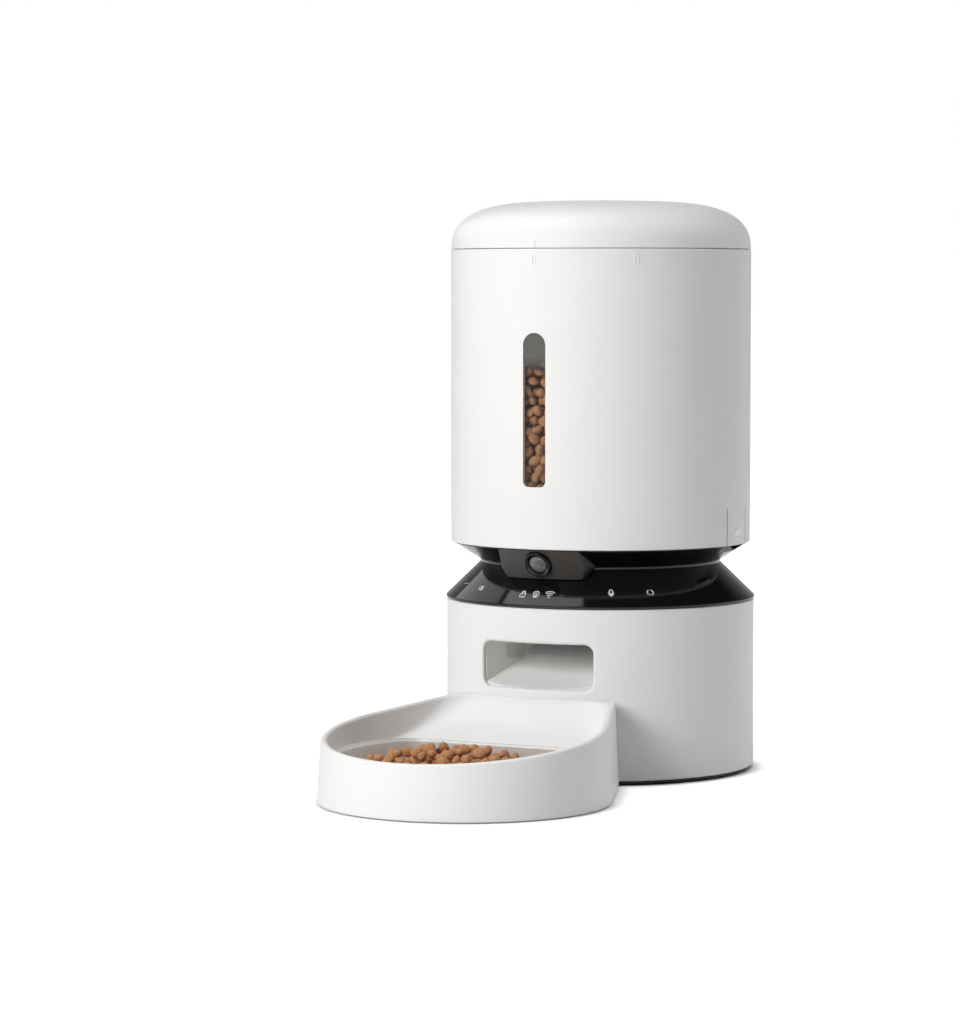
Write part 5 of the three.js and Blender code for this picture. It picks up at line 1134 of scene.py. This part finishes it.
SIGNS = [
    ("bowl", -11.2, 112.9, False, [
        bow(0, 0.4, 2.1, -90, 90, high=0.7), [(-2.1, 0.4), (-1.6, -1.6), (1.6, -1.6), (2.1, 0.4)]]),
    ("lock", -5.7, 113.3, True, [
        [(-1.6, 0.4), (1.6, 0.4), (1.6, -2.4), (-1.6, -2.4), (-1.6, 0.4)],
        [(-1.0, 0.4)] + bow(0, 1.3, 1.0, -90, 90) + [(1.0, 0.4)], [(0, -0.8), (0, -1.3)]]),
    ("camera", -0.1, 113.6, True, [
        bow(0, 0.3, 1.9, 0, 360, 20), bow(0, 0.3, 0.45, 0, 360, 8),
        [(-1.5, -2.5), (1.5, -2.5)], [(0, -1.6), (0, -2.4)]]),
    ("waves", 5.6, 113.4, True, [
        bow(0, -2, 4.6, -42, 42), bow(0, -2, 3.1, -42, 42), bow(0, -2, 1.6, -42, 42),
        bow(0, -2.2, 0.25, 0, 360, 8)]),
    ("warning", 10.4, 113.0, False, [[(0, 1.9), (2.1, -1.7), (-2.1, -1.7), (0, 1.9)], [(0, 0.6), (0, -0.6)]]),
    ("speech", 29.7, 115.2, True, [
        bow(0, 1.1, 0.95, -90, 90) + [(0.95, -0.2)] + bow(0, -0.2, 0.95, 90, 270) + [(-0.95, 1.1)],
        bow(0, -0.2, 1.75, 90, 270), [(0, -1.95), (0, -2.6)], [(-0.9, -2.6), (0.9, -2.6)]]),
    ("repeat", 45.4, 114.9, True, [bow(0, 0, 1.9, 15, 165), bow(0, 0, 1.9, 195, 345)]),
    ("timer", -29.7, 114.6, True, [
        [(1.4, 0.1), (1.4, 1.4), (-1.8, 1.4), (-1.8, -1.2), (-0.2, -1.2)], bow(0.9, -0.8, 0.9, 0, 360, 14),
        [(0.9, -0.3), (0.9, -0.8), (1.3, -0.8)]]),
    ("battery", -45.2, 115.5, True, [
        [(-2.4, -0.6), (-2.4, 0)], [(-0.8, -0.3), (-0.8, 0.3)],
        [(0.8, 0), (0.8, 0.6)], [(2.4, 0.3), (2.4, 0.9)]]),
]
SIGN_LINE, SIGN_THICK, SIGN_LIFT, SIGN_JOIN = 0.18, 0.05, 0.04, 0.05


def on_slope(angle, height, across, up):
    """A point on the sloping ring, by its distance from the sign's middle."""
    run, rise = WAIST - RING_RADIUS, WAIST_LOW - RING_SHOULDER
    length = math.hypot(run, rise)
    z = height + up * rise / length
    radius = RING_RADIUS + (z - RING_SHOULDER) * run / rise
    lift = SIGN_LIFT / math.sqrt(2)
    turn = math.radians(angle) + across / radius
    return Vector(((radius + lift) * math.sin(turn), -(radius + lift) * math.cos(turn), z + lift))


def make_signs():
    """Lays each sign on the slope as flat ribbons."""
    for name, angle, height, lit, lines in SIGNS:
        verts, faces = [], []
        for line in lines:
            closed = (Vector(line[0]) - Vector(line[-1])).length < SIGN_JOIN
            points = [Vector(point) for point in (line[:-1] if closed else line)]
            count = len(points)
            start = len(verts)
            for i, point in enumerate(points):
                before = points[(i - 1) % count] if closed or i else point
                after = points[(i + 1) % count] if closed or i < count - 1 else point
                along = (after - before).normalized()
                side = Vector((-along.y, along.x)) * SIGN_LINE / 2
                verts += [on_slope(angle, height, *(point + side)), on_slope(angle, height, *(point - side))]
            for i in range(count if closed else count - 1):
                a, b = start + 2 * i, start + 2 * ((i + 1) % count)
                faces.append((a, a + 1, b + 1, b))
        mesh = bpy.data.meshes.new("sign_" + name)
        mesh.from_pydata(verts, [], faces)
        sign = bpy.data.objects.new("sign_" + name, mesh)
        bpy.context.scene.collection.objects.link(sign)
        taken(sign)
        bpy.ops.object.modifier_add(type="SOLIDIFY")
        sign.modifiers[-1].thickness = SIGN_THICK
        bpy.ops.object.modifier_apply(modifier=sign.modifiers[-1].name)
        settled(sign, "base", None, finish=LIT if lit else UNLIT_PAINTED_GLOW, even=False)


# How bright the floor's glow is by distance in metres, and the room in mirrors by height; the reach in metres
# of the painted contact shadow in the floor's glow
FLOOR_GLOW = {"From Min": 0.2, "From Max": 0.7, "To Min": 0.56, "To Max": 1.0}
ROOM_GLOW = {"From Min": 0.1, "From Max": 0.5, "To Min": 0.38, "To Max": 0.02}
MIRRORED_FLOOR = 0.4
CONTACT_SHADE_REACH = 0.008


def seen_directly(finish):
    """One for rays from the camera and through clear surfaces, and less for those off a glossy surface."""
    rays = [finish.node("ShaderNodeLightPath", output=ray) for ray in
            ("Is Camera Ray", "Is Glossy Ray", "Is Transmission Ray")]
    return rays[0].most(rays[1] * MIRRORED_FLOOR).most(rays[2])


def set_stage():
    """A pale floor, white to the camera but for shadows under the feeder, partly cast by the lamps and partly
    painted into its glow where it meets the feeder, a white room and soft lamps.
    """
    deselected()
    bpy.ops.mesh.primitive_plane_add(size=60, location=(0, 0, 0))
    floor = bpy.context.object
    floor.name = "floor"
    finish = Finish(bpy.data.materials.new("pale_floor"))
    tone = finish.between(finish.noise(3), (0.8, 0.8, 0.8), (0.78, 0.78, 0.78))
    away = finish.node("ShaderNodeVectorMath", {"operation": "LENGTH"}, {0: finish.place}, "Value")
    far = finish.node("ShaderNodeMapRange", {}, {"Value": away, **FLOOR_GLOW}, "Result")
    # Painted contact shadow: the floor's glow is darkened by ambient occlusion close to the feeder
    painted_contact_shade = finish.node("ShaderNodeAmbientOcclusion", {"samples": 8}, {"Distance": CONTACT_SHADE_REACH}, "AO")
    glow = finish.between(seen_directly(finish) * far * painted_contact_shade * painted_contact_shade, (0, 0, 0), (1, 1, 1))
    floor.data.materials.append(finish.surface(
        Base_Color=tone, Roughness=0.9, Specular_IOR_Level=0.0, Emission_Color=glow, Emission_Strength=1.0))

    room = Finish(bpy.data.worlds.new("studio"), "Background", "Generated")
    upward = room.node("ShaderNodeSeparateXYZ", {}, {"Vector": room.place}, "Z")
    mirrored_room = room.node("ShaderNodeMapRange", {}, {"Value": upward, **ROOM_GLOW}, "Result")
    glossy = room.node("ShaderNodeLightPath", output="Is Glossy Ray")
    clear = room.node("ShaderNodeLightPath", output="Is Transmission Ray")
    camera = room.node("ShaderNodeLightPath", output="Is Camera Ray")
    shown = camera.most(clear)
    lighting = glossy * mirrored_room + (1 - glossy) * ROOM_LIGHT
    room.surface(Color=(1, 1, 1), Strength=shown + (1 - shown) * lighting)
    bpy.context.scene.world = room.material

    for lamp in LAMPS:
        softbox(*lamp)
    for panel in PANELS:
        softbox(*panel, mirrored=True)
    bpy.context.scene.view_settings.view_transform = "Standard"


set_camera()
set_stage()
finish_frame()
make_base()
make_control_ring()
make_collar()
make_camera()
make_tank()
make_lid()
make_tray()
make_bowl()
make_food()
make_signs()
